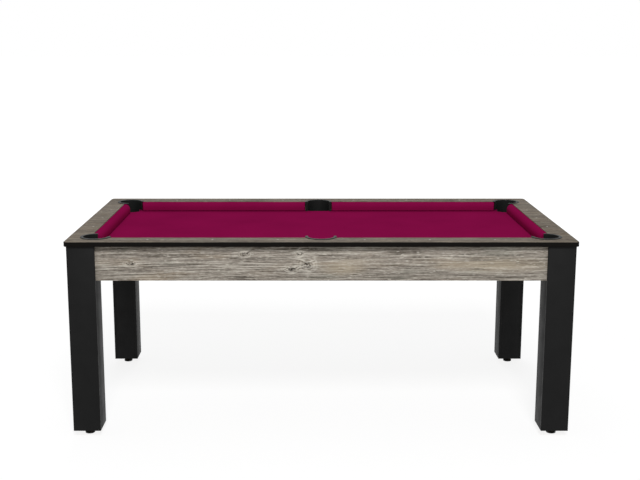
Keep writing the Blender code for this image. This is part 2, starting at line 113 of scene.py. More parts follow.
def pick(piece, kind, test):
    """Opens the piece in edit mode with only the VERT, EDGE or FACE items that pass the test."""
    select_only(piece)
    bpy.ops.object.mode_set(mode="EDIT")
    bpy.ops.mesh.select_mode(type=kind)
    bpy.ops.mesh.select_all(action="DESELECT")
    shell = bmesh.from_edit_mesh(piece.data)
    items = {"VERT": shell.verts, "EDGE": shell.edges, "FACE": shell.faces}[kind]
    for item in items:
        if test(item):
            item.select_set(True)
    bmesh.update_edit_mesh(piece.data)


def open_whole(piece):
    """Opens the piece in edit mode with all of it selected."""
    select_only(piece)
    bpy.ops.object.mode_set(mode="EDIT")
    bpy.ops.mesh.select_all(action="SELECT")


def close():
    bpy.ops.object.mode_set(mode="OBJECT")


def close_outward():
    """Turns every face outward and leaves edit mode."""
    bpy.ops.mesh.select_all(action="SELECT")
    bpy.ops.mesh.normals_make_consistent(inside=False)
    close()


def round_edges(piece, test, width, segments):
    """Bevels only the edges that pass the test."""
    pick(piece, "EDGE", test)
    bpy.ops.mesh.bevel(offset=width, segments=segments, affect="EDGES")
    close()
    return piece


def rise(edge):
    """How much higher one end of an edge lies than the other."""
    return abs(edge.verts[0].co.z - edge.verts[1].co.z)


# %% Modifiers that are applied at once
def modify(piece, kind, **settings):
    select_only(piece)
    modifier = piece.modifiers.new(kind.lower(), kind)
    for key, value in settings.items():
        setattr(modifier, key, value)
    bpy.ops.object.modifier_apply(modifier=modifier.name)
    return piece


def stamp(piece, tool, operation="DIFFERENCE"):
    """Cuts the tool out of the piece, or adds it. The tool is used up."""
    modify(piece, "BOOLEAN", object=tool, operation=operation, solver="EXACT")
    bpy.data.objects.remove(tool)
    return piece


def soften(piece, width, segments=2, angle=40):
    """Rounds every edge that turns by more than the angle."""
    return modify(
        piece,
        "BEVEL",
        width=width,
        segments=segments,
        limit_method="ANGLE",
        angle_limit=math.radians(angle),
        miter_outer="MITER_ARC",
    )


def join(name, pieces):
    deselect_all()
    for piece in pieces:
        piece.select_set(True)
    bpy.context.view_layer.objects.active = pieces[0]
    bpy.ops.object.join()
    return name_new(name)


# %% Starting shapes
def block(name, low, high):
    """A cube primitive brought to the size and place of a box."""
    low, high = Vector(low), Vector(high)
    deselect_all()
    bpy.ops.mesh.primitive_cube_add(size=1, location=(low + high) / 2)
    piece = name_new(name)
    piece.scale = high - low
    return apply_place(piece)


def placed_ring(name, points, fill):
    """A circle primitive with its vertices moved to a closed row of points."""
    deselect_all()
    bpy.ops.mesh.primitive_circle_add(vertices=len(points), radius=1, fill_type=fill)
    piece = name_new(name)
    for vertex, point in zip(piece.data.vertices, points):
        vertex.co = point
    return piece


def prism(name, outline, bottom, top):
    """A filled outline of (x, y) points, extruded upward."""
    piece = placed_ring(name, [(x, y, bottom) for x, y in outline], "NGON")
    open_whole(piece)
    bpy.ops.mesh.extrude_region_move(TRANSFORM_OT_translate={"value": (0, 0, top - bottom)})
    close_outward()
    return piece


WELD_DISTANCE = 0.00001


def turned(name, profile, sides):
    """A closed profile of (radius, height) points spun once round the Z axis."""
    piece = placed_ring(name, [(radius, 0, height) for radius, height in profile], "NOTHING")
    open_whole(piece)
    bpy.ops.mesh.spin(steps=sides, angle=math.tau, center=(0, 0, 0), axis=(0, 0, 1))
    bpy.ops.mesh.select_all(action="SELECT")
    bpy.ops.mesh.remove_doubles(threshold=WELD_DISTANCE)
    bpy.ops.mesh.dissolve_degenerate(threshold=WELD_DISTANCE)
    bpy.ops.mesh.delete_loose()
    close_outward()
    return piece


def copy_to(original, name, place, turn=0.0, tilt=0.0):
    """A copy with its own mesh, tilted about Y, turned about Z and moved, all then applied."""
    select_only(original)
    bpy.ops.object.duplicate(linked=False)
    piece = name_new(name)
    piece.location = place
    piece.rotation_euler = (0, tilt, turn)
    return apply_place(piece)


# %% Outlines
def arc(centre_x, centre_y, radius, start, end, steps):
    angles = [start + (end - start) * step / steps for step in range(steps + 1)]
    return [(centre_x + radius * math.cos(a), centre_y + radius * math.sin(a)) for a in angles]


def circle(centre_x, radius, sides):
    return arc(centre_x, 0, radius, 0, math.tau, sides)[:-1]


def rounded_rectangle(half_x, half_y, radius, steps=10):
    outline = []
    for quarter, (side_x, side_y) in enumerate(((1, 1), (-1, 1), (-1, -1), (1, -1))):
        start = quarter * math.pi / 2
        centre = (side_x * (half_x - radius), side_y * (half_y - radius))
        outline += arc(*centre, radius, start, start + math.pi / 2, steps)
    return outline


# %% [markdown]
# ## Materials as node trees
# Each finish is a Principled shader fed by noise. A small bench adds a node and wires it in the
# same line, and what comes out of a node can be added and multiplied like a number, so a finish
# reads like its recipe. All patterns read Object coordinates. Since every piece keeps its place
# in its mesh, a board of wood carries one grain from end to end.


# %% Colours and signals
def linear(red, green, blue):
    """A colour as read off a screen, 0 to 255, in the linear light that shaders work in."""
    shares = [value / 255 for value in (red, green, blue)]
    return tuple(s / 12.92 if s <= 0.04045 else ((s + 0.055) / 1.055) ** 2.4 for s in shares)


class Signal:
    """What comes out of a node. A sum or a product of signals is one more Math node."""

    def __init__(self, bench, socket):
        self.bench = bench
        self.socket = socket

    def __add__(self, other):
        return self.bench.math("ADD", self, other)

    def __mul__(self, other):
        return self.bench.math("MULTIPLY", self, other)


# %% The node bench
NOISE_RANGE = (0.3, 0.7)


class Bench:
    """A node tree, to which nodes are added and wired one at a time."""

    def __init__(self, tree):
        self.tree = tree

    def feed(self, socket, value):
        if isinstance(value, Signal):
            self.tree.links.new(value.socket, socket)
        elif socket.type == "RGBA":
            socket.default_value = (*value, 1)
        else:
            socket.default_value = value

    def node(self, kind, inputs, output=0, **settings):
        made = self.tree.nodes.new("ShaderNode" + kind)
        for key, value in settings.items():
            setattr(made, key, value)
        for key, value in inputs.items():
            self.feed(made.inputs[key], value)
        return Signal(self, made.outputs[output])

    def place(self):
        return self.node("TexCoord", {}, "Object")

    def math(self, operation, first, second=0.0):
        return self.node("Math", {0: first, 1: second}, operation=operation)

    def vector_math(self, operation, first, second=(0, 0, 0), output=0):
        return self.node("VectorMath", {0: first, 1: second}, output, operation=operation)

    def stretch(self, vector, scales):
        return self.vector_math("MULTIPLY", vector, scales)

    def dot(self, vector, direction):
        return self.vector_math("DOT_PRODUCT", vector, direction, "Value")

    def length(self, vector):
        return self.vector_math("LENGTH", vector, output="Value")

    def combine(self, x, y, z=0.0):
        return self.node("CombineXYZ", {0: x, 1: y, 2: z})

    def noise(self, vector, scale=1.0, detail=3, roughness=0.5):
        inputs = {"Vector": vector, "Scale": scale, "Detail": detail, "Roughness": roughness}
        return self.node("TexNoise", inputs, "Fac")

    def fit(self, value, low, high, to_low=0.0, to_high=1.0):
        """The value moved from one range to another, and held inside it."""
        return self.node("MapRange", {0: value, 1: low, 2: high, 3: to_low, 4: to_high})

    def vary(self, value, low, high):
        """Noise, which mostly stays near its middle, spread between two amounts."""
        return self.fit(value, *NOISE_RANGE, low, high)

    def mix(self, share, first, second, blend="MIX"):
        inputs = {0: share, 6: first, 7: second}
        return self.node("Mix", inputs, 2, data_type="RGBA", blend_type=blend)

    def tint(self, colour, level):
        """The colour made darker or lighter by a level."""
        return self.mix(1.0, colour, self.combine(level, level, level), "MULTIPLY")

    def ramp(self, value, stops):
        """Colours along a scale from 0 to 1, each stop an amount and a colour."""
        output = self.node("ValToRGB", {0: value})
        scale = output.socket.node.color_ramp
        for amount, colour in stops[1:-1]:
            scale.elements.new(amount).color = (*colour, 1)
        for index in (0, -1):
            scale.elements[index].position = stops[index][0]
            scale.elements[index].color = (*stops[index][1], 1)
        return output

    def bump(self, height, distance, strength):
        return self.node("Bump", {"Height": height, "Distance": distance, "Strength": strength})


# %% A material's bench
class Finish(Bench):
    """The nodes of one material, round its Principled shader."""

    def __init__(self, name, **sockets):
        self.material = bpy.data.materials.new(name)
        self.material.use_nodes = True
        super().__init__(self.material.node_tree)
        self.shader = self.tree.nodes["Principled BSDF"]
        for socket, value in sockets.items():
            self.set(socket.replace("_", " "), value)

    def set(self, socket, value):
        self.feed(self.shader.inputs[socket], value)


# %% [markdown]
# ## Weathered wood
# The rails and aprons are faced with a decor of old grey boards. In a real board the grain lines
# are the edges of growth rings, and a knot is where they run round a branch. A picture of that
# comes from one height field: the distance across the board, rippled by a broad noise, with a
# small hill at each knot. Lines drawn at equal heights of that field run straight along the board
# and close into rings round the hills, as contour lines do on a map.

# %% Layers of the wood
# Each layer is noise drawn out along the grain. A row gives its fineness along and across,
# whether it keeps to the straight board or follows the grain round the knots, its detail and
# its roughness.
WOOD_LAYERS = {
    "slow": (1.2, 6, "board", 2, 0.5),
    "quick": (9, 40, "board", 2, 0.5),
    "broad": (1.3, 30, "grain", 2, 0.5),
    "streaks": (4.5, 165, "grain", 2, 0.55),
    "grooves": (11, 350, "grain", 3, 0.65),
    "pores": (60, 1400, "grain", 1, 0.5),
    "chatter": (60, 170, "board", 2, 0.5),
    "veins": (1.6, 52, "grain", 1, 0.5),
    "flecks": (30, 210, "grain", 2, 0.6),
    "patches": (3.5, 18, "board", 2, 0.5),
    "cracks": (55, 170, "board", 3, 0.7),
}
SLOW_RIPPLE = 0.045
QUICK_RIPPLE = 0.005
KNOT_RISE = 0.012
WOOD_GLOSS = 0.07


class WoodFinish(Finish):
    """A board's finish, which knows its grain and how far each spot is from a knot."""

    def __init__(self, name, along, across, knots, seed):
        super().__init__(name, Specular_IOR_Level=WOOD_GLOSS)
        place = self.place()
        self.run = self.dot(place, along)
        self.side = self.dot(place, across)
        self.knot_distance = self.nearest(knots)
        self.layers = {}
        self.add_layers("board", self.side, seed)
        hill = self.math("EXPONENT", self.math("POWER", self.knot_distance, 2.0) * -1.0)
        ripple = self.side + self.layers["slow"] * SLOW_RIPPLE + self.layers["quick"] * QUICK_RIPPLE
        self.add_layers("grain", ripple + hill * KNOT_RISE, seed)

    def add_layers(self, way, across, seed):
        """Each layer is a separate slice of the same noise."""
        for number, (name, (fine_along, fine_across, follows, *settings)) in enumerate(WOOD_LAYERS.items()):
            if follows == way:
                spot = self.combine(self.run * fine_along, across * fine_across, seed + number)
                self.layers[name] = self.noise(spot, 1.0, *settings)

    def nearest(self, marks):
        """The distance to the nearest mark, counted in that mark's own length and width."""
        spot = self.combine(self.run, self.side)
        nearest = None
        for run, side, length, width in marks:
            away = self.vector_math("SUBTRACT", spot, (run, side, 0))
            distance = self.length(self.vector_math("DIVIDE", away, (length, width, 1)))
            nearest = distance if nearest is None else self.math("MINIMUM", nearest, distance)
        return nearest

    def wash(self, colour, value, low, high, strength, second):
        """The second colour laid over the first where the value goes from low to high."""
        return self.mix(self.fit(value, low, high, 0.0, strength), colour, second)


# %% Colours of the wood
WOOD_TONES = (
    (0.0, linear(84, 78, 70)),
    (0.2, linear(112, 105, 96)),
    (0.48, linear(150, 142, 132)),
    (0.76, linear(172, 164, 153)),
    (1.0, linear(208, 202, 190)),
)
WOOD_DARK = WOOD_TONES[0][1]
WOOD_PALE = WOOD_TONES[-1][1]
TONE_SHARES = {"broad": 0.14, "streaks": 0.36, "grooves": 0.36, "chatter": 0.14}
TONE_RANGE = (0.405, 0.595)
RING_STEP = 0.55
RING_WANDER = 9.0
RING_REACH = (2.6, 0.8)
RING_DEPTH = 0.045
PATCH_WASHES = (
    (0.55, 0.75, 0.40, linear(160, 142, 118)),
    (0.44, 0.28, 0.45, linear(134, 136, 125)),
)
STAIN_WASH = (1.3, 0.3, 0.55, linear(188, 174, 151))
FLECK_WASH = (0.59, 0.70, 0.85, WOOD_PALE)
VEIN_LINES = (
    (0.50, 0.020, 0.60, WOOD_DARK),
    (0.42, 0.014, 0.50, WOOD_PALE),
)
KNOT_MARKS = (
    ("flecks", (3.0, 1.2), (0.47, 0.57), WOOD_PALE),
    ("cracks", (1.25, 0.5), (0.45, 0.54), linear(46, 40, 35)),
)
KNOT_STRENGTH = 0.9


def board_tone(wood):
    """Long streaks of light and dark, with growth rings round each knot."""
    turn = wood.knot_distance * (math.tau / RING_STEP) + wood.layers["quick"] * RING_WANDER
    tone = wood.math("SINE", turn) * wood.fit(wood.knot_distance, *RING_REACH, 0.0, RING_DEPTH)
    for layer, share in TONE_SHARES.items():
        tone = tone + wood.layers[layer] * share
    return wood.ramp(wood.fit(tone, *TONE_RANGE), WOOD_TONES)


def mark_knots(wood, colour):
    """Pale chips round each knot and a dark cracked heart in it."""
    for layer, reach, layer_range, mark in KNOT_MARKS:
        near = wood.fit(wood.knot_distance, *reach, 0.0, KNOT_STRENGTH)
        colour = wood.mix(near * wood.fit(wood.layers[layer], *layer_range), colour, mark)
    return colour


# %% Weathered wood
def weathered_wood(name, along, across, knots, stains=(), seed=0.0, painted_shade=(1, 1, 1)):
    """Boards with grain along one direction. Knots and stains are (along, across, length, width)."""
    wood = WoodFinish(name, along, across, knots, seed)
    layers = wood.layers
    colour = board_tone(wood)
    for wash in PATCH_WASHES:
        colour = wood.wash(colour, layers["patches"], *wash)
    if stains:
        colour = wood.wash(colour, wood.nearest(stains), *STAIN_WASH)
    for level, half_width, strength, line in VEIN_LINES:
        away = wood.math("ABSOLUTE", wood.math("SUBTRACT", layers["veins"], level))
        colour = wood.wash(colour, away, half_width, 0.0, strength, line)
    colour = wood.wash(colour, layers["flecks"], *FLECK_WASH)
    colour = wood.tint(colour, wood.vary(layers["pores"], 0.86, 1.10))
    # The last multiply is painted shade: it darkens the rail board's colour. The aprons leave it at one.
    wood.set("Base Color", wood.mix(1.0, mark_knots(wood, colour), painted_shade, "MULTIPLY"))
    wood.set("Roughness", wood.vary(layers["grooves"], 0.78, 0.58))
    wood.set("Normal", wood.bump(layers["grooves"] * 0.6 + layers["pores"] * 0.4, 0.0004, 0.6))
    return wood.material


# %% [markdown]
# ## The other finishes
# Cloth is lit by the ends of its fibres, so it takes a little sheen and a soft mottling where the
# nap lies one way or the other. Board faces and moulded plastic are told apart by how fine and how
# deep their moulded grain is. Metals carry fine scratches and slightly uneven roughness.

# %% Cloth
CLOTH_RED = linear(134, 15, 70)
CUSHION_RED = linear(134, 14, 69)
NAP_SHEEN = linear(255, 52, 140)
THREAD_SCALE = 320.0
FIBRE_SCALE = 700.0


def napped_cloth(name, colour, sheen):
    """A drift in the lie of the nap, the fuzz of single fibres, and threads about 1 mm apart."""
    cloth = Finish(name, Roughness=0.95, Specular_IOR_Level=0.0, Sheen_Weight=sheen)
    cloth.set("Sheen Roughness", 0.5)
    cloth.set("Sheen Tint", NAP_SHEEN)
    place = cloth.place()
    drift = cloth.noise(place, scale=5.0, detail=4)
    fuzz = cloth.noise(place, scale=FIBRE_SCALE, detail=3, roughness=0.7)
    threads = {"Vector": place, "Scale": THREAD_SCALE, "Distortion": 1.2, "Detail": 1.0}
    warp, weft = (cloth.node("TexWave", threads, "Fac", bands_direction=way) for way in "XY")
    level = cloth.vary(drift, 0.94, 1.06) * cloth.fit(fuzz, 0.25, 0.75, 0.82, 1.18)
    cloth.set("Base Color", cloth.tint(colour, level))
    cloth.set("Normal", cloth.bump(warp * weft * 0.6 + fuzz * 0.8, 0.0002, 0.5))
    return cloth.material


# %% Board faces, plastic and metal
HANDLING_SCALE = 14.0
HANDLING_ROUGHNESS = 0.06
SCRATCH_SCALES = (120, 120, 2400)


def moulded(name, colour, roughness, grain_scale, relief, specular=0.2):
    """A dark face with a fine pebbled grain and faint handling marks."""
    face = Finish(name, Specular_IOR_Level=specular)
    place = face.place()
    pebble = face.noise(place, scale=grain_scale, detail=2)
    marks = face.noise(place, scale=HANDLING_SCALE, detail=4, roughness=0.6)
    level = face.vary(pebble, 0.85, 1.15) * face.vary(marks, 0.92, 1.08)
    rough = face.vary(marks, roughness + HANDLING_ROUGHNESS, roughness - HANDLING_ROUGHNESS)
    face.set("Base Color", face.tint(colour, level))
    face.set("Roughness", rough)
    face.set("Normal", face.bump(pebble, relief, 0.6))
    return face.material


def worked_metal(name, colour, roughness):
    """Plated steel or brass with fine scratches round the piece and dull patches."""
    metal = Finish(name, Metallic=1.0)
    place = metal.place()
    patches = metal.noise(place, scale=60.0)
    scratches = metal.noise(metal.stretch(place, SCRATCH_SCALES), detail=2)
    metal.set("Base Color", metal.tint(colour, metal.vary(patches, 0.82, 1.08)))
    metal.set("Roughness", metal.vary(scratches, roughness - 0.08, roughness + 0.12))
    metal.set("Normal", metal.bump(scratches, 0.00005, 0.4))
    return metal.material


# %% Slate and softwood
SLATE_TONES = (
    (0.0, linear(52, 55, 59)),
    (0.6, linear(72, 76, 80)),
    (1.0, linear(96, 99, 102)),
)
SLATE_LAYER_SCALES = (3, 3, 90)
SPRUCE_TONES = (
    (0.0, linear(212, 184, 142)),
    (0.55, linear(206, 174, 130)),
    (0.86, linear(184, 146, 102)),
    (1.0, linear(210, 180, 138)),
)
SPRUCE_RINGS = 11.0
SPRUCE_RING_SCALES = {"along": 1.6, "across": 24.0}
SPRUCE_FIBRE_SCALES = {"along": 20.0, "across": 900.0}


def split_slate(name):
    """Thin level layers with a fine grit."""
    slate = Finish(name, Specular_IOR_Level=0.3)
    place = slate.place()
    layers = slate.noise(slate.stretch(place, SLATE_LAYER_SCALES), detail=5, roughness=0.6)
    grit = slate.noise(place, scale=420.0, detail=2)
    height = layers * 0.6 + grit * 0.4
    slate.set("Base Color", slate.ramp(slate.fit(height, 0.35, 0.65), SLATE_TONES))
    slate.set("Roughness", slate.vary(grit, 0.62, 0.82))
    slate.set("Normal", slate.bump(height, 0.0006, 0.5))
    return slate.material


def by_grain(scales, along):
    """One scale for the axis of the grain and another for the two across it."""
    return tuple(scales["along"] if share else scales["across"] for share in along)


def spruce(name, along, seed):
    """Plain sawn softwood: pale early wood between narrow brown late-wood lines."""
    wood = Finish(name, Specular_IOR_Level=0.3)
    place = wood.vector_math("ADD", wood.place(), (seed, seed * 2, seed * 3))
    bend = wood.noise(wood.stretch(place, by_grain(SPRUCE_RING_SCALES, along)), detail=2)
    fibre = wood.noise(wood.stretch(place, by_grain(SPRUCE_FIBRE_SCALES, along)), detail=2)
    colour = wood.ramp(wood.math("FRACT", bend * SPRUCE_RINGS), SPRUCE_TONES)
    wood.set("Base Color", wood.tint(colour, wood.vary(fibre, 0.9, 1.08)))
    wood.set("Roughness", wood.vary(fibre, 0.62, 0.78))
    wood.set("Normal", wood.bump(fibre, 0.0003, 0.5))
    return wood.material


# %% Shared finishes
# A moulded face is given by its colour, its roughness, how fine its grain is and how deep.
CRIMSON = napped_cloth("bed_crimson", CLOTH_RED, 0.04)
CUSHION_CRIMSON = napped_cloth("cushion_crimson", CUSHION_RED, 0.08)
EDGE_BLACK = moulded("edge_black", linear(15, 13, 11), 0.50, 900.0, 0.00005, specular=0.05)
LEG_BLACK = moulded("leg_black", linear(12, 12, 12), 0.60, 1400.0, 0.00006, specular=0.165)
POCKET_BLACK = moulded("pocket_black", linear(26, 28, 27), 0.52, 1100.0, 0.00008, specular=0.12)
FOOT_BLACK = moulded("foot_black", linear(24, 24, 24), 0.6, 700.0, 0.0001)
ZINC = worked_metal("zinc", linear(196, 198, 200), 0.30)
BRASS = worked_metal("brass", linear(202, 168, 104), 0.32)
SIGHT_PALE = moulded("sight_pale", linear(176, 170, 160), 0.35, 600.0, 0.00002)
SLATE_GREY = split_slate("slate_grey")
print("finishes", [material.name for material in bpy.data.materials])


# %% Handing a finished piece to the frame
def hand_over(piece, finish, body, nodes=(), smooth=35):
    """Shades the piece, gives it its finish and body, and lets it stand for its frame nodes."""
    select_only(piece)
    bpy.ops.object.shade_smooth_by_angle(angle=math.radians(smooth))
    piece.data.materials.clear()
    piece.data.materials.append(finish)
    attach(piece, body)
    if nodes:
        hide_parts(*nodes)
    return piece


def dress_node(node, finish):
    """A better finish on a frame node whose shape is already right."""
    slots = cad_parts[node].data.materials
    slots.clear()
    slots.append(finish)


# %% [markdown]
# ## The rail board
# One flat frame of board lies over the whole table, with six round bites where the pockets hang.
# It is drawn as a rounded rectangle, pressed through with the play field and the pocket circles,
# and every edge is eased by a hair so that it catches light. Its black band is a separate strip
# glued round the outside, a little rounder at its edges.

# %% Sizes that the rails share
CORNERS = (
    ("front_left", -1, -1),
    ("front_right", 1, -1),
    ("back_right", 1, 1),
    ("back_left", -1, 1),
)
board_low, board_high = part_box("rail_board")
band_low, band_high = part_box("edge_band")
rail_top = board_high.z
board_bottom = board_low.z
wood_line_y = -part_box("cushion_front_left")[0].y
wood_line_x = -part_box("cushion_left_end")[0].x
BOARD_CORNER_RADIUS = 0.018
BAND_THICKNESS = band_high.x - board_high.x
CUT_OVERRUN = 0.02
print("rail top", round(rail_top, 4), "wood lines", round(wood_line_x, 4), round(wood_line_y, 4))

# %% Pocket places
CORNER_POCKET_END_INSET = 0.1105
CORNER_POCKET_SIDE_INSET = 0.115
MIDDLE_POCKET_INSET = 0.114
CORNER_THROAT_RADIUS = 0.051
MIDDLE_THROAT_RADIUS = 0.0525
POCKET_WALL = 0.003
POCKET_CLEARANCE = 0.002
LIP_WIDTH = 0.012
LIP_ROUNDING = 0.0013
CHEEK_GAP = 0.0008
cheek_edge = MIDDLE_THROAT_RADIUS + LIP_WIDTH - LIP_ROUNDING
corner_pocket_x = band_high.x - CORNER_POCKET_END_INSET
corner_pocket_y = band_high.y - CORNER_POCKET_SIDE_INSET
middle_pocket_y = band_high.y - MIDDLE_POCKET_INSET


def throat_radius(kind):
    return CORNER_THROAT_RADIUS if kind == "corner" else MIDDLE_THROAT_RADIUS


POCKETS = [
    (corner, "corner", side_x * corner_pocket_x, side_y * corner_pocket_y, math.atan2(side_y, side_x))
    for corner, side_x, side_y in CORNERS
]
POCKETS += [
    ("front_middle", "middle", 0, -middle_pocket_y, -math.pi / 2),
    ("back_middle", "middle", 0, middle_pocket_y, math.pi / 2),
]
print("corner pockets at", round(corner_pocket_x, 4), round(corner_pocket_y, 4))

# %% Rail board
RAIL_KNOTS = (
    (-0.62, -0.515, 0.014, 0.006),
    (0.36, -0.530, 0.016, 0.007),
    (0.71, 0.520, 0.015, 0.006),
    (-0.21, 0.535, 0.014, 0.006),
    (-0.99, 0.16, 0.016, 0.009),
    (0.98, -0.11, 0.015, 0.008),
)
# Painted shade: the aprons' grey decor darkened for the rail tops, which face away from the main lamp.
RAIL_PAINTED_SHADE = (0.53, 0.495, 0.45)
BITE_SIDES = 72
EASED_EDGE = 0.0006


def on_face(marks, depth):
    """Marks given along and across a face, shifted by how deep the face lies for the wood."""
    return [(run, side + depth, *size) for run, side, *size in marks]


knots = on_face(RAIL_KNOTS, rail_top)
RAIL_WOOD = weathered_wood("rail_wood", (1, 0, 0), (0, 1, 1), knots, seed=3.0, painted_shade=RAIL_PAINTED_SHADE)


def shape_board():
    outline = rounded_rectangle(board_high.x, board_high.y, BOARD_CORNER_RADIUS - BAND_THICKNESS)
    board = prism("grained_rail_board", outline, board_bottom, rail_top)
    field_low = (-wood_line_x, -wood_line_y, board_bottom - CUT_OVERRUN)
    field_high = (wood_line_x, wood_line_y, rail_top + CUT_OVERRUN)
    stamp(board, block("field", field_low, field_high))
    for name, kind, x, y, _ in POCKETS:
        radius = throat_radius(kind) + POCKET_WALL + POCKET_CLEARANCE
        bite = [(x + u, y + v) for u, v in circle(0, radius, BITE_SIDES)]
        stamp(board, prism("bite_" + name, bite, board_bottom - CUT_OVERRUN, rail_top + CUT_OVERRUN))
    return soften(board, EASED_EDGE)


board = hand_over(shape_board(), RAIL_WOOD, "root", ["rail_board"])
print("rail board faces", len(board.data.polygons))

# %% Edge band
BAND_EDGE = 0.0012


def shape_band():
    outline = rounded_rectangle(band_high.x, band_high.y, BOARD_CORNER_RADIUS)
    inside = rounded_rectangle(board_high.x, board_high.y, BOARD_CORNER_RADIUS - BAND_THICKNESS)
    band = prism("rounded_edge_band", outline, band_low.z, band_high.z)
    round_edges(band, lambda edge: rise(edge) < WELD_DISTANCE, BAND_EDGE, segments=3)
    return stamp(band, prism("band_inside", inside, band_low.z - CUT_OVERRUN, band_high.z + CUT_OVERRUN))


band = hand_over(shape_band(), EDGE_BLACK, "root", ["edge_band"])
print("edge band faces", len(band.data.polygons))

# %% [markdown]
# ## Sights
# Players aim by small pale dots let into the rails, three between each pair of pockets. Each is a
# shallow button: a short cylinder with its upper rim rolled over. One is made and the rest are
# copies with meshes of their own.

# %% Sights
SIGHT_RADIUS = 0.0042
SIGHT_INSET = 0.055
SIGHT_STAND = 0.0003
SIGHT_DEPTH = 0.0010
SIGHT_LONG_STEP = 0.2625
SIGHT_LONG_FIRST = 0.175
SIGHT_SHORT_STEP = 0.215
SIGHT_SIDES = 24
SIGHTS_ON_HALF = 3


def sight_places():
    """Three on each half of a long rail, and three on each short rail."""
    for side in (-1, 1):
        for half in (-1, 1):
            for place in range(SIGHTS_ON_HALF):
                x = half * (SIGHT_LONG_FIRST + place * SIGHT_LONG_STEP)
                yield x, side * (band_high.y - SIGHT_INSET)
        for place in (-1, 0, 1):
            yield side * (band_high.x - SIGHT_INSET), place * SIGHT_SHORT_STEP


def shape_sight():
    deselect_all()
    bpy.ops.mesh.primitive_cylinder_add(vertices=SIGHT_SIDES, radius=SIGHT_RADIUS, depth=SIGHT_DEPTH)
    sight = name_new("sight")
    return round_edges(sight, lambda edge: min(v.co.z for v in edge.verts) > 0, SIGHT_STAND, 2)


sight_model = shape_sight()
level = rail_top + SIGHT_STAND - SIGHT_DEPTH / 2
for number, (x, y) in enumerate(sight_places(), 1):
    sight = copy_to(sight_model, f"sight_{number}", (x, y, level))
    hand_over(sight, SIGHT_PALE, "root")
bpy.data.objects.remove(sight_model)
print("sights", number)

# %% [markdown]
# ## Aprons
# Four upright boards make the frame under the rails. They are plain boards, so the work is in the
# finish: the front board has a few knots, which sit where the eye finds them on the real board.

# %% Aprons
APRON_EDGE = 0.0008
FRONT_KNOTS = (
    (-0.764, 0.731, 0.018, 0.008),
    (-0.306, 0.770, 0.017, 0.009),
    (-0.085, 0.772, 0.012, 0.009),
    (-0.057, 0.726, 0.021, 0.018),
    (-0.117, 0.708, 0.022, 0.010),
)
FRONT_STAINS = (
    (0.085, 0.712, 0.090, 0.028),
    (0.700, 0.726, 0.220, 0.030),
)
BACK_KNOTS = (
    (0.640, 0.720, 0.020, 0.010),
    (0.050, 0.760, 0.016, 0.009),
    (-0.580, 0.735, 0.022, 0.014),
)
LEFT_KNOTS = ((0.18, 0.745, 0.018, 0.010),)
RIGHT_KNOTS = ((-0.22, 0.725, 0.020, 0.012),)
APRONS = (
    ("front", (1, 0, 0), (0, 1, 1), FRONT_KNOTS, FRONT_STAINS, -1),
    ("back", (1, 0, 0), (0, 1, 1), BACK_KNOTS, (), 1),
    ("left", (0, 1, 0), (1, 0, 1), LEFT_KNOTS, (), -1),
    ("right", (0, 1, 0), (1, 0, 1), RIGHT_KNOTS, (), 1),
)
APRON_SEEDS = (10.0, 15.0, 20.0, 25.0)


def shape_aprons():
    for seed, (side, along, across, knots, stains, sign) in zip(APRON_SEEDS, APRONS):
        low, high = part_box("apron_" + side)
        outer = high if sign > 0 else low
        depth = across[0] * outer.x + across[1] * outer.y
        finish = weathered_wood(
            "apron_wood_" + side,
            along,
            across,
            on_face(knots, depth),
            on_face(stains, depth),
            seed=seed,
        )
        apron = soften(block("grained_apron_" + side, low, high), APRON_EDGE)
        hand_over(apron, finish, "root", ["apron_" + side])


shape_aprons()
print("aprons", len(APRONS), "knots on the front one", len(FRONT_KNOTS))

# %% [markdown]
# ## Box legs
# Each leg is a box of four black boards. The two outer boards run right up beside the aprons, and
# the two inner ones stop under them. A single box would do from afar, but four boards modelled
# one by one leave fine seams at the corners of the leg, just where the real ones meet.

# %% Legs
LEG_WALL = 0.012
LEG_EDGE = 0.0007
SEAM = 0.0001
apron_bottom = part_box("apron_front")[0].z


def leg_board(name, side_x, side_y, x_range, y_range, z_range):
    """A board given by its distances from the table's middle, on the side of its corner."""
    near = (side_x * x_range[0], side_y * y_range[0], z_range[0])
    far = (side_x * x_range[1], side_y * y_range[1], z_range[1])
    low = [min(pair) for pair in zip(near, far)]
    high = [max(pair) for pair in zip(near, far)]
    return soften(block(name, low, high), LEG_EDGE)


def shape_leg(corner, side_x, side_y):
    low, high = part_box("leg_" + corner)
    inner_x, outer_x = sorted((abs(low.x), abs(high.x)))
    inner_y, outer_y = sorted((abs(low.y), abs(high.y)))
    full = (low.z, high.z)
    short = (low.z, apron_bottom - SEAM)
    between_y = (inner_y, outer_y - LEG_WALL - SEAM)
    between_x = (inner_x + LEG_WALL + SEAM, outer_x - LEG_WALL - SEAM)
    boards = (
        ("face", (inner_x, outer_x), (outer_y - LEG_WALL, outer_y), full),
        ("end", (outer_x - LEG_WALL, outer_x), between_y, full),
        ("inside", (inner_x, inner_x + LEG_WALL), between_y, short),
        ("rear", between_x, (inner_y, inner_y + LEG_WALL), short),
    )
    pieces = [leg_board(name, side_x, side_y, *ranges) for name, *ranges in boards]
    return join("box_leg_" + corner, pieces)


for corner, side_x, side_y in CORNERS:
    leg = shape_leg(corner, side_x, side_y)
    hand_over(leg, LEG_BLACK, "root", ["leg_" + corner])
print("legs", len(CORNERS), "apron underside at", round(apron_bottom, 4))

# %% [markdown]
# ## Rail cushions
# A cushion is a rubber profile under tight cloth: flat from the wood, rounding over to a blunt
# nose at about the middle of a ball, and drawn in a little underneath. A cloth simulation would
# puff it up, and rubber keeps its shape. So it is a drawn section, given in shares of its size,
# lofted along the rail and smoothed by subdivision. On the short rails its ends are cut at a slant
# to guide a ball into the pocket, and on the long rails they are nearly square. At every end the
# cloth is folded over, and it pulls there in faint creases.

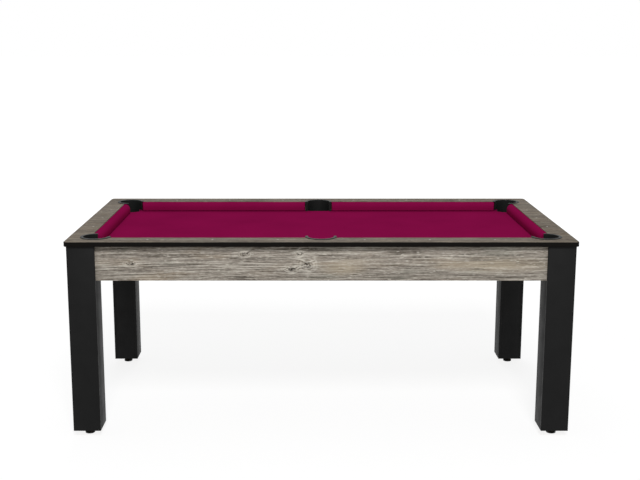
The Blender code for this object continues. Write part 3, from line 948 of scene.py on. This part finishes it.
# %% Cushion section and places
middle_end = abs(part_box("cushion_front_left")[1].x)
SHORT_RAIL_END = {"trim": 0.0, "run": 0.025}
LONG_RAIL_END = {"trim": 0.0, "run": 0.009}
MIDDLE_END = {"trim": cheek_edge + CHEEK_GAP - middle_end, "run": 0.003}
STATION_STEP = 0.022
END_FOLD = 0.0016
CUSHION_SECTION_SHARES = (
    (0.0, 0.06),
    (0.05, 0.02),
    (0.14, 0.0),
    (0.30, 0.0),
    (0.48, 0.025),
    (0.64, 0.075),
    (0.78, 0.155),
    (0.88, 0.25),
    (0.95, 0.36),
    (0.985, 0.47),
    (1.0, 0.58),
    (1.0, 0.70),
    (0.995, 0.83),
    (0.985, 0.93),
    (0.98, 0.985),
    (0.975, 1.0),
    (0.93, 1.0),
    (0.50, 1.0),
    (0.0, 1.0),
)
CUSHIONS = (
    ("front_left", 0, LONG_RAIL_END, MIDDLE_END),
    ("front_right", 0, MIDDLE_END, LONG_RAIL_END),
    ("right_end", 1, SHORT_RAIL_END, SHORT_RAIL_END),
    ("back_right", 2, LONG_RAIL_END, MIDDLE_END),
    ("back_left", 2, MIDDLE_END, LONG_RAIL_END),
    ("left_end", 3, SHORT_RAIL_END, SHORT_RAIL_END),
)
print("middle cushion ends", round(middle_end, 4), "cheeks reach", round(cheek_edge, 4))


# %% Cushion mesh
def cushion_rings(low, high, start_run, end_run):
    """Rings of section points along the rail. +X runs along it and +Y away from the wood."""
    reach = high.y - low.y
    height = high.z - low.z
    count = round((high.x - low.x) / STATION_STEP)
    shares = [step / count for step in range(count + 1)]
    fold_share = END_FOLD / (high.x - low.x)
    shares = [shares[0], fold_share, *shares[1:-1], 1 - fold_share, shares[-1]]
    rings = []
    for share in shares:
        ring = []
        for reach_share, drop_share in CUSHION_SECTION_SHARES:
            left = low.x + start_run * reach_share
            right = high.x - end_run * reach_share
            x = left + (right - left) * share
            ring.append((x, low.y + reach * reach_share, high.z - height * drop_share))
        rings.append(ring)
    return rings


def lies_on(edge, ring):
    """True for an edge whose two ends are points of the ring."""
    ends = [min((vertex.co - point).length for point in ring) for vertex in edge.verts]
    return max(ends) < WELD_DISTANCE


def loft(name, rings):
    """A flat grid rolled up through rings of points, its seam welded and its two ends filled."""
    size = len(rings[0])
    deselect_all()
    bpy.ops.mesh.primitive_grid_add(x_subdivisions=size, y_subdivisions=len(rings) - 1)
    piece = name_new(name)
    points = [point for ring in rings for point in (*ring, ring[0])]
    for vertex, point in zip(piece.data.vertices, points):
        vertex.co = point
    open_whole(piece)
    bpy.ops.mesh.remove_doubles(threshold=WELD_DISTANCE)
    for ring in (rings[0], rings[-1]):
        ring = [Vector(point) for point in ring]
        pick(piece, "EDGE", lambda edge: edge.is_boundary and lies_on(edge, ring))
        bpy.ops.mesh.edge_face_add()
    close_outward()
    return piece


def hold_end_caps(piece):
    """Insets each end cap a little, so that subdivision keeps it flat with a rolled rim."""
    pick(piece, "FACE", lambda face: len(face.verts) == len(CUSHION_SECTION_SHARES))
    bpy.ops.mesh.inset(thickness=END_FOLD)
    close()
    return piece


# %% Creases in the cushion cloth
CREASE_HEIGHT = 0.00021
CREASE_REACH = 0.030
CREASE_PITCH = 0.011
CREASE_WANDER = 3
WANDER_SCALE = 30
DRIFT_HEIGHT = 0.000175
DRIFT_SCALES = (6, 2)
WOOD_SIDE_SHARE = 0.25


def pull_creases(piece, low, high, start_run, end_run):
    """Faint folds in the cloth that fade away from the two facings, and a slow drift."""
    piece.data.update()
    for vertex in piece.data.vertices:
        x, y, z = vertex.co
        share = (y - low.y) / (high.y - low.y)
        near = max(0.0, min(x - low.x - start_run * share, high.x - end_run * share - x))
        wander = CREASE_WANDER * noise.noise(vertex.co * WANDER_SCALE)
        wave = math.sin(math.tau * (y - z) / CREASE_PITCH + wander)
        drift = noise.noise(Vector((x * DRIFT_SCALES[0], share * DRIFT_SCALES[1], low.x)))
        rise = CREASE_HEIGHT * wave * math.exp(-near / CREASE_REACH) + DRIFT_HEIGHT * drift
        away_from_wood = min(1.0, max(0.0, share) / WOOD_SIDE_SHARE)
        vertex.co += vertex.normal * rise * away_from_wood


# %% Cushions
def shape_cushion(name, quarter, start, end):
    """Made as if on the front rail, then turned by quarters to its own rail."""
    turn = quarter * math.pi / 2
    corners = [Matrix.Rotation(-turn, 3, "Z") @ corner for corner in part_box("cushion_" + name)]
    low = Vector(map(min, *corners))
    high = Vector(map(max, *corners))
    low.x += start["trim"]
    high.x -= end["trim"]
    rings = cushion_rings(low, high, start["run"], end["run"])
    cushion = hold_end_caps(loft("padded_cushion_" + name, rings))
    modify(cushion, "SUBSURF", levels=2, render_levels=2)
    pull_creases(cushion, low, high, start["run"], end["run"])
    cushion.rotation_euler = (0, 0, turn)
    return apply_place(cushion)


for name, quarter, start, end in CUSHIONS:
    cushion = shape_cushion(name, quarter, start, end)
    hand_over(cushion, CUSHION_CRIMSON, "root", ["cushion_" + name], smooth=60)
print("cushions", len(CUSHIONS), "faces each about", len(cushion.data.polygons))

# %% [markdown]
# ## Drop pockets
# Each pocket is one moulding: a raised horseshoe lip on the rail, a throat, and a cup under the
# bed. A turned body gives the throat and lip, the cup is an extruded outline added to it, and the
# ball's way in is stamped out. The corner pockets drop through a circle. The middle pockets drop
# through a shallower D, because a ball comes at them from the side.

# %% Pocket sizes
CORNER_DROP_RADIUS = 0.0485
CORNER_SPREAD = math.radians(133)
MIDDLE_SPREAD = math.radians(100)
MIDDLE_SHELF_REACH = 0.0085
MIDDLE_DROP_ROUNDING = 0.012
CUP_DEPTH = 0.150
CUP_STEP = 0.0006
CUP_FOOT_ROUNDING = 0.004
LEDGE_THICKNESS = 0.002
FLANGE_THICKNESS = 0.003
SEAT_GAP = 0.0003
LIP_HEIGHT = 0.0026
POCKET_EDGE = 0.0005
THROAT_SIDES = 96
DROP_SIDES = 64
ROUNDING_STEPS = 12
LIP_STEPS = 5
CUP_SLOTS = 6
CUP_SLOT_WIDTH = 0.007
SLOT_ROUNDING_SHARE = 0.49
CUP_SLOT_INNER = 0.010
CUP_SLOT_OUTER = 0.034
CORNER_DROP_SHIFT = CORNER_THROAT_RADIUS - CORNER_DROP_RADIUS - CUP_STEP
bed_depth = rail_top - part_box("bed_cloth")[1].z
slate_depth = rail_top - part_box("slate_bed")[0].z
print("bed below the rail top", round(bed_depth, 4), "slate's underside", round(slate_depth, 4))


# %% Pocket outlines
def drop_shift(kind):
    """How far outward the drop's middle lies from the throat's."""
    return CORNER_DROP_SHIFT if kind == "corner" else 0


def drop_outline(kind, growth):
    """The hole that a ball falls through, grown by a wall. The outward direction is +X."""
    if kind == "corner":
        return circle(CORNER_DROP_SHIFT, CORNER_DROP_RADIUS + growth, DROP_SIDES)
    radius = MIDDLE_THROAT_RADIUS - CUP_STEP
    centre_x = MIDDLE_DROP_ROUNDING - MIDDLE_SHELF_REACH
    centre_y = math.sqrt((radius - MIDDLE_DROP_ROUNDING) ** 2 - centre_x**2)
    tangent = math.atan2(centre_y, centre_x)
    small = MIDDLE_DROP_ROUNDING + growth
    outline = arc(0, 0, radius + growth, -tangent, tangent, DROP_SIDES // 2)
    outline += arc(centre_x, centre_y, small, tangent, math.pi, ROUNDING_STEPS)[1:]
    outline += arc(centre_x, -centre_y, small, math.pi, math.tau - tangent, ROUNDING_STEPS)[:-1]
    return outline


def lip_profile(throat, flange_bottom):
    """Half the body's section, from the axis below, out and over the lip, and back to the axis."""
    outer = throat + POCKET_WALL
    edge = throat + LIP_WIDTH
    top = SEAT_GAP + LIP_HEIGHT
    rounding = LIP_ROUNDING
    outside = arc(edge - rounding, top - rounding, rounding, 0, math.pi / 2, LIP_STEPS)
    inside = arc(throat + rounding, top - rounding, rounding, math.pi / 2, math.pi, LIP_STEPS)
    start = [(0, flange_bottom), (outer, flange_bottom), (outer, SEAT_GAP), (edge, SEAT_GAP)]
    return [*start, *outside, *inside, (throat - CUP_STEP, top - rounding), (0, top - rounding)]


# %% Cup, slots and cheeks
def cup(kind, top):
    """The cup that hangs under the bed, its foot rounded off."""
    cup = prism("cup", drop_outline(kind, POCKET_WALL), -CUP_DEPTH, top)
    foot = -CUP_DEPTH + WELD_DISTANCE
    return round_edges(cup, lambda edge: max(v.co.z for v in edge.verts) < foot, CUP_FOOT_ROUNDING, 4)


def slot_cutter(number, centre_x):
    """One of the radial slots in the cup's floor, with round ends."""
    low = (CUP_SLOT_INNER, -CUP_SLOT_WIDTH / 2, -CUP_DEPTH - CUT_OVERRUN)
    high = (CUP_SLOT_OUTER, CUP_SLOT_WIDTH / 2, -CUP_DEPTH + CUT_OVERRUN)
    cutter = block("slot", low, high)
    rounding = CUP_SLOT_WIDTH * SLOT_ROUNDING_SHARE
    round_edges(cutter, lambda edge: rise(edge) > CUT_OVERRUN, rounding, segments=5)
    cutter.rotation_euler = (0, 0, math.tau * number / CUP_SLOTS)
    cutter.location.x = centre_x
    return apply_place(cutter)


def add_cheeks(pocket):
    """Solid sides under the lip that fill the space between the throat and the cushions."""
    nose = abs(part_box("cushion_front_left")[1].y) - middle_pocket_y
    wood = wood_line_y - middle_pocket_y
    bottom = SEAT_GAP - bed_depth
    top = SEAT_GAP + LIP_HEIGHT / 2
    near = MIDDLE_THROAT_RADIUS + CUP_STEP
    for name, start, end in (("left", near, cheek_edge), ("right", -cheek_edge, -near)):
        low = (nose + SEAT_GAP, start, bottom)
        high = (wood - CHEEK_GAP, end, top)
        stamp(pocket, block("cheek_" + name, low, high), "UNION")


# %% A whole pocket
def open_drop(pocket, kind, spread, ledge_top, reach):
    """Stamps out a ball's way: over the ledge, between the lip's two arms, and down the drop."""
    floor = -CUP_DEPTH + POCKET_WALL
    throat = circle(0, throat_radius(kind), THROAT_SIDES)
    far = reach / math.cos(math.pi - spread)
    mouth = [(0, 0), *arc(0, 0, far, spread, math.tau - spread, ROUNDING_STEPS)]
    stamp(pocket, prism("drop", drop_outline(kind, 0), floor, ledge_top + LEDGE_THICKNESS))
    stamp(pocket, prism("throat", throat, ledge_top, CUT_OVERRUN))
    stamp(pocket, prism("mouth", mouth, ledge_top - CUP_STEP, CUT_OVERRUN))


def shape_pocket(kind, spread):
    throat = throat_radius(kind)
    reach = throat + LIP_WIDTH + CUT_OVERRUN
    ledge_top = -bed_depth + LEDGE_THICKNESS
    flange_top = -slate_depth - SEAT_GAP
    flange_bottom = flange_top - FLANGE_THICKNESS
    bed_high = (drop_shift(kind), reach, ledge_top + CUP_STEP)
    pocket = turned(kind + "_pocket_model", lip_profile(throat, flange_bottom), THROAT_SIDES)
    stamp(pocket, cup(kind, flange_top - FLANGE_THICKNESS / 2), "UNION")
    stamp(pocket, block("bed_space", (-reach, -reach, flange_top), bed_high))
    if kind == "middle":
        add_cheeks(pocket)
    open_drop(pocket, kind, spread, ledge_top, reach)
    slot_centre = MIDDLE_THROAT_RADIUS / 2 if kind == "middle" else CORNER_DROP_SHIFT
    for number in range(CUP_SLOTS):
        stamp(pocket, slot_cutter(number, slot_centre))
    return soften(pocket, POCKET_EDGE, angle=50)


# %% Pockets
pocket_models = {
    "corner": shape_pocket("corner", CORNER_SPREAD),
    "middle": shape_pocket("middle", MIDDLE_SPREAD),
}
for name, kind, x, y, outward in POCKETS:
    pocket = copy_to(pocket_models[kind], "moulded_pocket_" + name, (x, y, rail_top), outward)
    hand_over(pocket, POCKET_BLACK, "root", ["pocket_" + name])
for model in pocket_models.values():
    bpy.data.objects.remove(model)
print("pockets", len(POCKETS), "faces of the last", len(pocket.data.polygons))

# %% [markdown]
# ## Bed cloth
# The bed cloth is a single woven sheet, stretched over the slate and glued underneath. It starts
# as a thin slab that the pockets are stamped out of. At each drop a real cloth is slit and pulled
# down over the slate's edge, so a thin skirt with a rolled top follows each drop's rim.

# %% Bed cloth sheet
SKIRT_DROP = 0.014
SKIRT_ROLL = 0.0020
SKIRT_THICKNESS = 0.0006
SKIRT_STEPS = 5
cloth_low, cloth_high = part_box("bed_cloth")
print("bed cloth", round(1000 * (cloth_high.z - cloth_low.z), 2), "mm thick")


def placed_outline(outline, x, y, turn):
    cosine, sine = math.cos(turn), math.sin(turn)
    return [(x + cosine * u - sine * v, y + sine * u + cosine * v) for u, v in outline]


def drop_cutters(bottom, top):
    reach = band_high.y / 2
    for name, kind, x, y, outward in POCKETS:
        half_gap = throat_radius(kind) + POCKET_WALL + SEAT_GAP + CUP_STEP
        start = drop_shift(kind) - SEAT_GAP - CUP_STEP
        channel = [(start, -half_gap), (reach, -half_gap), (reach, half_gap), (start, half_gap)]
        for cut, outline in (("drop_", drop_outline(kind, 0)), ("channel_", channel)):
            yield prism(cut + name, placed_outline(outline, x, y, outward), bottom, top)


def shape_cloth():
    sheet = block("cloth_sheet", cloth_low, cloth_high)
    for cutter in drop_cutters(cloth_low.z - CUT_OVERRUN, cloth_high.z + CUT_OVERRUN):
        stamp(sheet, cutter)
    return sheet


# %% Cloth skirts at the drops
def skirt_levels():
    """(growth, height) pairs round the skirt's thin section, rolled over at the top."""
    angles = [step * math.pi / 2 / SKIRT_STEPS for step in range(SKIRT_STEPS + 1)]
    outer = [(SKIRT_ROLL * (1 - math.sin(a)), SKIRT_ROLL * (math.cos(a) - 1)) for a in angles]
    outer.append((0.0, -SKIRT_DROP))
    inner = [(growth + SKIRT_THICKNESS, height - SKIRT_THICKNESS) for growth, height in outer]
    return outer + inner[::-1]


def skirt_rims(kind):
    """One level's rim after another, each with its height and starting on the same side."""
    for growth, height in skirt_levels():
        rim = drop_outline(kind, growth - CUP_STEP)
        if kind == "corner":
            start = -(len(rim) // 2) // 2
            rim = rim[start:] + rim[:start]
        yield rim, height


def shape_skirt(name, kind, x, y, outward):
    """A ring of the section at each point of the rim, in the half that lies in the bed."""
    rims = list(skirt_rims(kind))
    limit = drop_shift(kind) - CUP_STEP
    kept = [index for index, (u, _) in enumerate(rims[0][0]) if u < limit]
    rings = []
    for index in kept:
        section = placed_outline([rim[index] for rim, _ in rims], x, y, outward)
        rings.append([(px, py, cloth_high.z + height) for (px, py), (_, height) in zip(section, rims)])
    return loft("skirt_" + name, rings)


skirts = [shape_skirt(*pocket) for pocket in POCKETS]
bed_cloth = join("stretched_bed_cloth", [shape_cloth(), *skirts])
hand_over(bed_cloth, CRIMSON, "root", ["bed_cloth"])

# %% [markdown]
# ## What carries the bed
# Seen from below are the slate and four sawn beams, with wooden strips behind the cushions. The
# slate and strips already have the right shape and only take a finish. The beams get broken edges.

# %% Slate, beams, strips and plugs
BEAMS = 4
BEAM_EDGE = 0.002
BEAM_SEED_STEP = 1.7
dress_node("slate_bed", SLATE_GREY)
for number in range(1, BEAMS + 1):
    node = f"slate_beam_{number}"
    beam_wood = spruce(f"beam_wood_{number}", (0, 1, 0), number * BEAM_SEED_STEP)
    beam = soften(block(f"sawn_beam_{number}", *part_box(node)), BEAM_EDGE)
    hand_over(beam, beam_wood, "root", [node])
STRIP_WOOD = spruce("strip_wood", (1, 0, 0), 0.4)
END_STRIP_WOOD = spruce("end_strip_wood", (0, 1, 0), 0.9)
PLUG_WOOD = spruce("plug_wood", (0, 0, 1), 2.3)
for name, quarter, _, _ in CUSHIONS:
    dress_node("rail_strip_" + name, END_STRIP_WOOD if quarter % 2 else STRIP_WOOD)
for corner, _, _ in CORNERS:
    dress_node("leg_plug_" + corner, PLUG_WOOD)
    dress_node("thread_sleeve_" + corner, BRASS)
print("beams", BEAMS, "strips", len(CUSHIONS), "plugs", len(CORNERS))

# %% [markdown]
# ## Levelling feet
# A foot is a moulded pad that turns on a threaded stem with a hexagon to grip. The pad is a turned
# profile. The thread is one tooth profile swept up a helix by the Screw modifier, which is how a
# lathe cuts it.

# %% Foot pads
foot_low, foot_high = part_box("foot_pad_front_left")
foot_radius = (foot_high.x - foot_low.x) / 2
foot_height = foot_high.z
FOOT_NECK_RADIUS = 0.011
FOOT_RIM_HEIGHT = 0.007
FOOT_ROUNDING = 0.0012
FOOT_SOCKET_RADIUS = 0.0053
FOOT_SOCKET_FLOOR = 0.005
FOOT_SIDES = 64
SHOULDER_ANGLE = math.pi * 0.35


def foot_profile():
    """Half the pad's section: a rounded rim, a sloping shoulder, a neck and the stem's socket."""
    rounding = FOOT_ROUNDING
    rim = foot_radius - rounding
    high_rim_z = FOOT_RIM_HEIGHT - rounding
    neck_x = FOOT_NECK_RADIUS - rounding
    return [
        (0, 0),
        *arc(rim, rounding, rounding, -math.pi / 2, 0, 5),
        *arc(rim, high_rim_z, rounding, 0, SHOULDER_ANGLE, 4),
        *arc(neck_x, foot_height - rounding, rounding, SHOULDER_ANGLE, math.pi / 2, 3),
        (FOOT_SOCKET_RADIUS, foot_height),
        (FOOT_SOCKET_RADIUS, FOOT_SOCKET_FLOOR),
        (0, FOOT_SOCKET_FLOOR),
    ]


pad_model = turned("pad_model", foot_profile(), FOOT_SIDES)
print("pad radius", round(foot_radius, 4), "height", round(foot_height, 4))


# %% Threaded stems
stem_low, stem_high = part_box("foot_stem_front_left")
THREAD_PITCH = 0.0015
THREAD_RADIUS = 0.005
THREAD_DEPTH = 0.0009
THREAD_SIDES = 32
HEX_WIDTH = 0.017
HEX_HEIGHT = 0.006
HEX_EDGE = 0.0006
TOOTH_SHARES = ((0.0, 0.0), (0.125, 0.0), (0.45, 1.0), (0.675, 1.0))
print("turns of thread on a stem", round((stem_high.z - stem_low.z) / THREAD_PITCH, 1))


def tooth(bottom):
    """The run of one tooth up the stem's side, from one root to the next."""
    points = []
    for rise_share, depth_share in TOOTH_SHARES:
        radius = THREAD_RADIUS - THREAD_DEPTH * (1 - depth_share)
        points.append((radius, 0, bottom + THREAD_PITCH * (rise_share - 1)))
    return [*points, (points[0][0], 0, bottom)]


def draw_profile(name, points):
    """A plane merged to its centre, and that one vertex drawn on from point to point."""
    deselect_all()
    bpy.ops.mesh.primitive_plane_add(size=THREAD_PITCH, location=points[0])
    profile = apply_place(name_new(name))
    pick(profile, "VERT", lambda vertex: True)
    bpy.ops.mesh.merge(type="CENTER")
    for start, end in zip(points, points[1:]):
        step = [there - here for here, there in zip(start, end)]
        bpy.ops.mesh.extrude_vertices_move(TRANSFORM_OT_translate={"value": step})
    close()
    return profile


def trim(piece, height, above):
    """Cuts the piece off square at a height and fills the cut."""
    open_whole(piece)
    sides = {"clear_outer": above, "clear_inner": not above}
    bpy.ops.mesh.bisect(plane_co=(0, 0, height), plane_no=(0, 0, 1), use_fill=True, **sides)
    close()


# %% Thread and collar
def shape_thread(bottom, top):
    """Teeth swept up the stem, with the ends trimmed square."""
    thread = draw_profile("thread", tooth(bottom))
    modify(
        thread,
        "SCREW",
        axis="Z",
        angle=math.tau,
        screw_offset=THREAD_PITCH,
        iterations=math.ceil((top - bottom) / THREAD_PITCH) + 1,
        steps=THREAD_SIDES,
        render_steps=THREAD_SIDES,
        use_merge_vertices=True,
        merge_threshold=WELD_DISTANCE,
    )
    trim(thread, bottom, above=False)
    trim(thread, top, above=True)
    return thread


def hexagon(name, width, bottom, height, edge):
    """A six-sided head of a given width across its flats, its edges eased."""
    deselect_all()
    place = (0, 0, bottom + height / 2)
    bpy.ops.mesh.primitive_cylinder_add(vertices=6, radius=width / math.sqrt(3), depth=height, location=place)
    return soften(apply_place(name_new(name)), edge, angle=30)


# %% Feet in their places
collar = hexagon("collar", HEX_WIDTH, foot_height + SEAT_GAP, HEX_HEIGHT, HEX_EDGE)
stem_model = join("stem_model", [shape_thread(stem_low.z, stem_high.z), collar])
for corner, _, _ in CORNERS:
    low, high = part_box("foot_pad_" + corner)
    centre = ((low.x + high.x) / 2, (low.y + high.y) / 2, 0)
    pad = copy_to(pad_model, "moulded_pad_" + corner, centre)
    hand_over(pad, FOOT_BLACK, "foot_" + corner, ["foot_pad_" + corner])
    stem = copy_to(stem_model, "threaded_stem_" + corner, centre)
    hand_over(stem, ZINC, "stem_" + corner, ["foot_stem_" + corner])
bpy.data.objects.remove(pad_model)
bpy.data.objects.remove(stem_model)
print("stem faces", len(stem.data.polygons))

# %% [markdown]
# ## Leg bolts
# Eight flanged hexagon bolts draw the legs against the aprons from inside the frame. The head is a
# six-sided cylinder with its corners eased, on a turned flange. Each bolt is made pointing up and
# then laid down towards its leg.

# %% Leg bolts
BOLT_HEAD_WIDTH = 0.013
BOLT_HEAD_HEIGHT = 0.0055
BOLT_FLANGE_RADIUS = 0.0085
BOLT_FLANGE_EDGE = 0.0007
BOLT_FLANGE_TOP_RADIUS = 0.0062
BOLT_FLANGE_SLOPE = 0.0024
BOLT_FLANGE_SIDES = 40
BOLT_RADIUS = 0.004
BOLT_LENGTH = 0.0303
BOLT_TIP = 0.001
BOLT_SIDES = 32
BOLT_EDGE = 0.0005


def shape_bolt():
    bottom = -SEAT_GAP - BOLT_HEAD_HEIGHT
    flange = [
        (0, -SEAT_GAP),
        (0, -SEAT_GAP - BOLT_FLANGE_SLOPE),
        (BOLT_FLANGE_TOP_RADIUS, -SEAT_GAP - BOLT_FLANGE_SLOPE),
        (BOLT_FLANGE_RADIUS, -SEAT_GAP - BOLT_FLANGE_EDGE),
        (BOLT_FLANGE_RADIUS, -SEAT_GAP),
    ]
    shank = [
        (0, -SEAT_GAP),
        (BOLT_RADIUS, -SEAT_GAP),
        (BOLT_RADIUS, BOLT_LENGTH - BOLT_TIP),
        (BOLT_RADIUS - BOLT_TIP, BOLT_LENGTH),
        (0, BOLT_LENGTH),
    ]
    pieces = [
        hexagon("head", BOLT_HEAD_WIDTH, bottom, BOLT_HEAD_HEIGHT, BOLT_EDGE),
        turned("flange", flange, BOLT_FLANGE_SIDES),
        turned("shank", shank, BOLT_SIDES),
    ]
    return join("bolt_model", pieces)


bolt_model = shape_bolt()
apron_back_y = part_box("apron_back")[0].y
apron_back_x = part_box("apron_right")[0].x
for corner, side_x, side_y in CORNERS:
    for way in ("side", "end"):
        node = f"leg_bolt_{corner}_{way}"
        low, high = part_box(node)
        place = (low + high) / 2
        if way == "side":
            place.y = side_y * apron_back_y
            direction = side_y * math.pi / 2
        else:
            place.x = side_x * apron_back_x
            direction = 0.0 if side_x > 0 else math.pi
        bolt = copy_to(bolt_model, f"flanged_bolt_{corner}_{way}", place, direction, tilt=math.pi / 2)
        hand_over(bolt, ZINC, "root", [node])
bpy.data.objects.remove(bolt_model)
print("bolts", 2 * len(CORNERS))

# %% [markdown]
# ## Studio
# The table stands on a pale floor in even light: a soft sky all round, a broad lamp above and
# behind the camera that puts a gentle shade under the rail's overhang, and a weaker one at the
# back. The floor and the backdrop turn white for the camera and in reflections through their own
# materials, so no extra light is thrown on the table to get there.

# %% Floor
FLOOR_SIZE = 120.0
FLOOR_ALBEDO = 0.8
FLOOR_SHADOW_SHARE = 0.25
FLOOR_WHITE = 1.15
FLOOR_NEAR = 2.0
FLOOR_FAR = 5.0
deselect_all()
bpy.ops.mesh.primitive_plane_add(size=FLOOR_SIZE, location=(0, 0, 0))
floor = name_new("floor")


def seen_directly(bench):
    """1 where the eye, a reflection or a clear material looks, and 0 for light that spreads."""
    kinds = ("Is Camera Ray", "Is Glossy Ray", "Is Transmission Ray")
    eye, glossy, clear = (bench.node("LightPath", {}, kind) for kind in kinds)
    return bench.math("MAXIMUM", bench.math("MAXIMUM", eye, glossy), clear)


def floor_finish():
    """A pale matt floor. To the eye it is white, and keeps a quarter of its shadow near the table."""
    pale = Finish("floor_pale")
    matt = pale.node("BsdfDiffuse", {"Color": (FLOOR_ALBEDO, FLOOR_ALBEDO, FLOOR_ALBEDO)})
    white = pale.node("Emission", {"Color": (1, 1, 1), "Strength": FLOOR_WHITE})
    distance = pale.length(pale.place())
    lift = pale.fit(distance, FLOOR_NEAR, FLOOR_FAR, 1 - FLOOR_SHADOW_SHARE, 1.0)
    blend = pale.node("MixShader", {0: seen_directly(pale) * lift, 1: matt, 2: white})
    pale.tree.nodes.remove(pale.shader)
    pale.feed(pale.tree.nodes["Material Output"].inputs["Surface"], blend)
    return pale.material


floor.data.materials.append(floor_finish())
print("floor", FLOOR_SIZE, "m across")

# %% Sky and lamps
SKY_STRENGTH = 0.30
LAMPS = (
    ("key_lamp", (0.4, -7.0, 6.8), 2.0, 510.0),
    ("fill_lamp", (-0.8, 5.2, 5.4), 2.5, 90.0),
)


def white_sky():
    """Plain sky light, and white where the camera or a reflection looks past the table."""
    world = bpy.data.worlds.new("studio")
    bpy.context.scene.world = world
    world.use_nodes = True
    sky = Bench(world.node_tree)
    backdrop = sky.tree.nodes["Background"].inputs
    sky.feed(backdrop["Color"], (1, 1, 1))
    sky.feed(backdrop["Strength"], sky.fit(seen_directly(sky), 0.0, 1.0, SKY_STRENGTH, 1.0))


def soft_lamp(name, place, size, power):
    """A broad square lamp that faces the middle of the table."""
    bpy.ops.object.light_add(type="AREA", location=place)
    lamp = bpy.context.active_object
    lamp.name = name
    lamp.data.shape = "SQUARE"
    lamp.data.size = size
    lamp.data.energy = power
    towards = Vector((0, 0, rail_top)) - lamp.location
    lamp.rotation_euler = towards.to_track_quat("-Z", "Y").to_euler()


white_sky()
for lamp in LAMPS:
    soft_lamp(*lamp)
print("lamps", len(LAMPS), "sky", SKY_STRENGTH)

# %% [markdown]
# ## The view at the end
# The Standard view transform shows colours as they were mixed, without a film-like curve.

# %% Look
bpy.context.scene.view_settings.view_transform = "Standard"
bpy.context.view_layer.update()
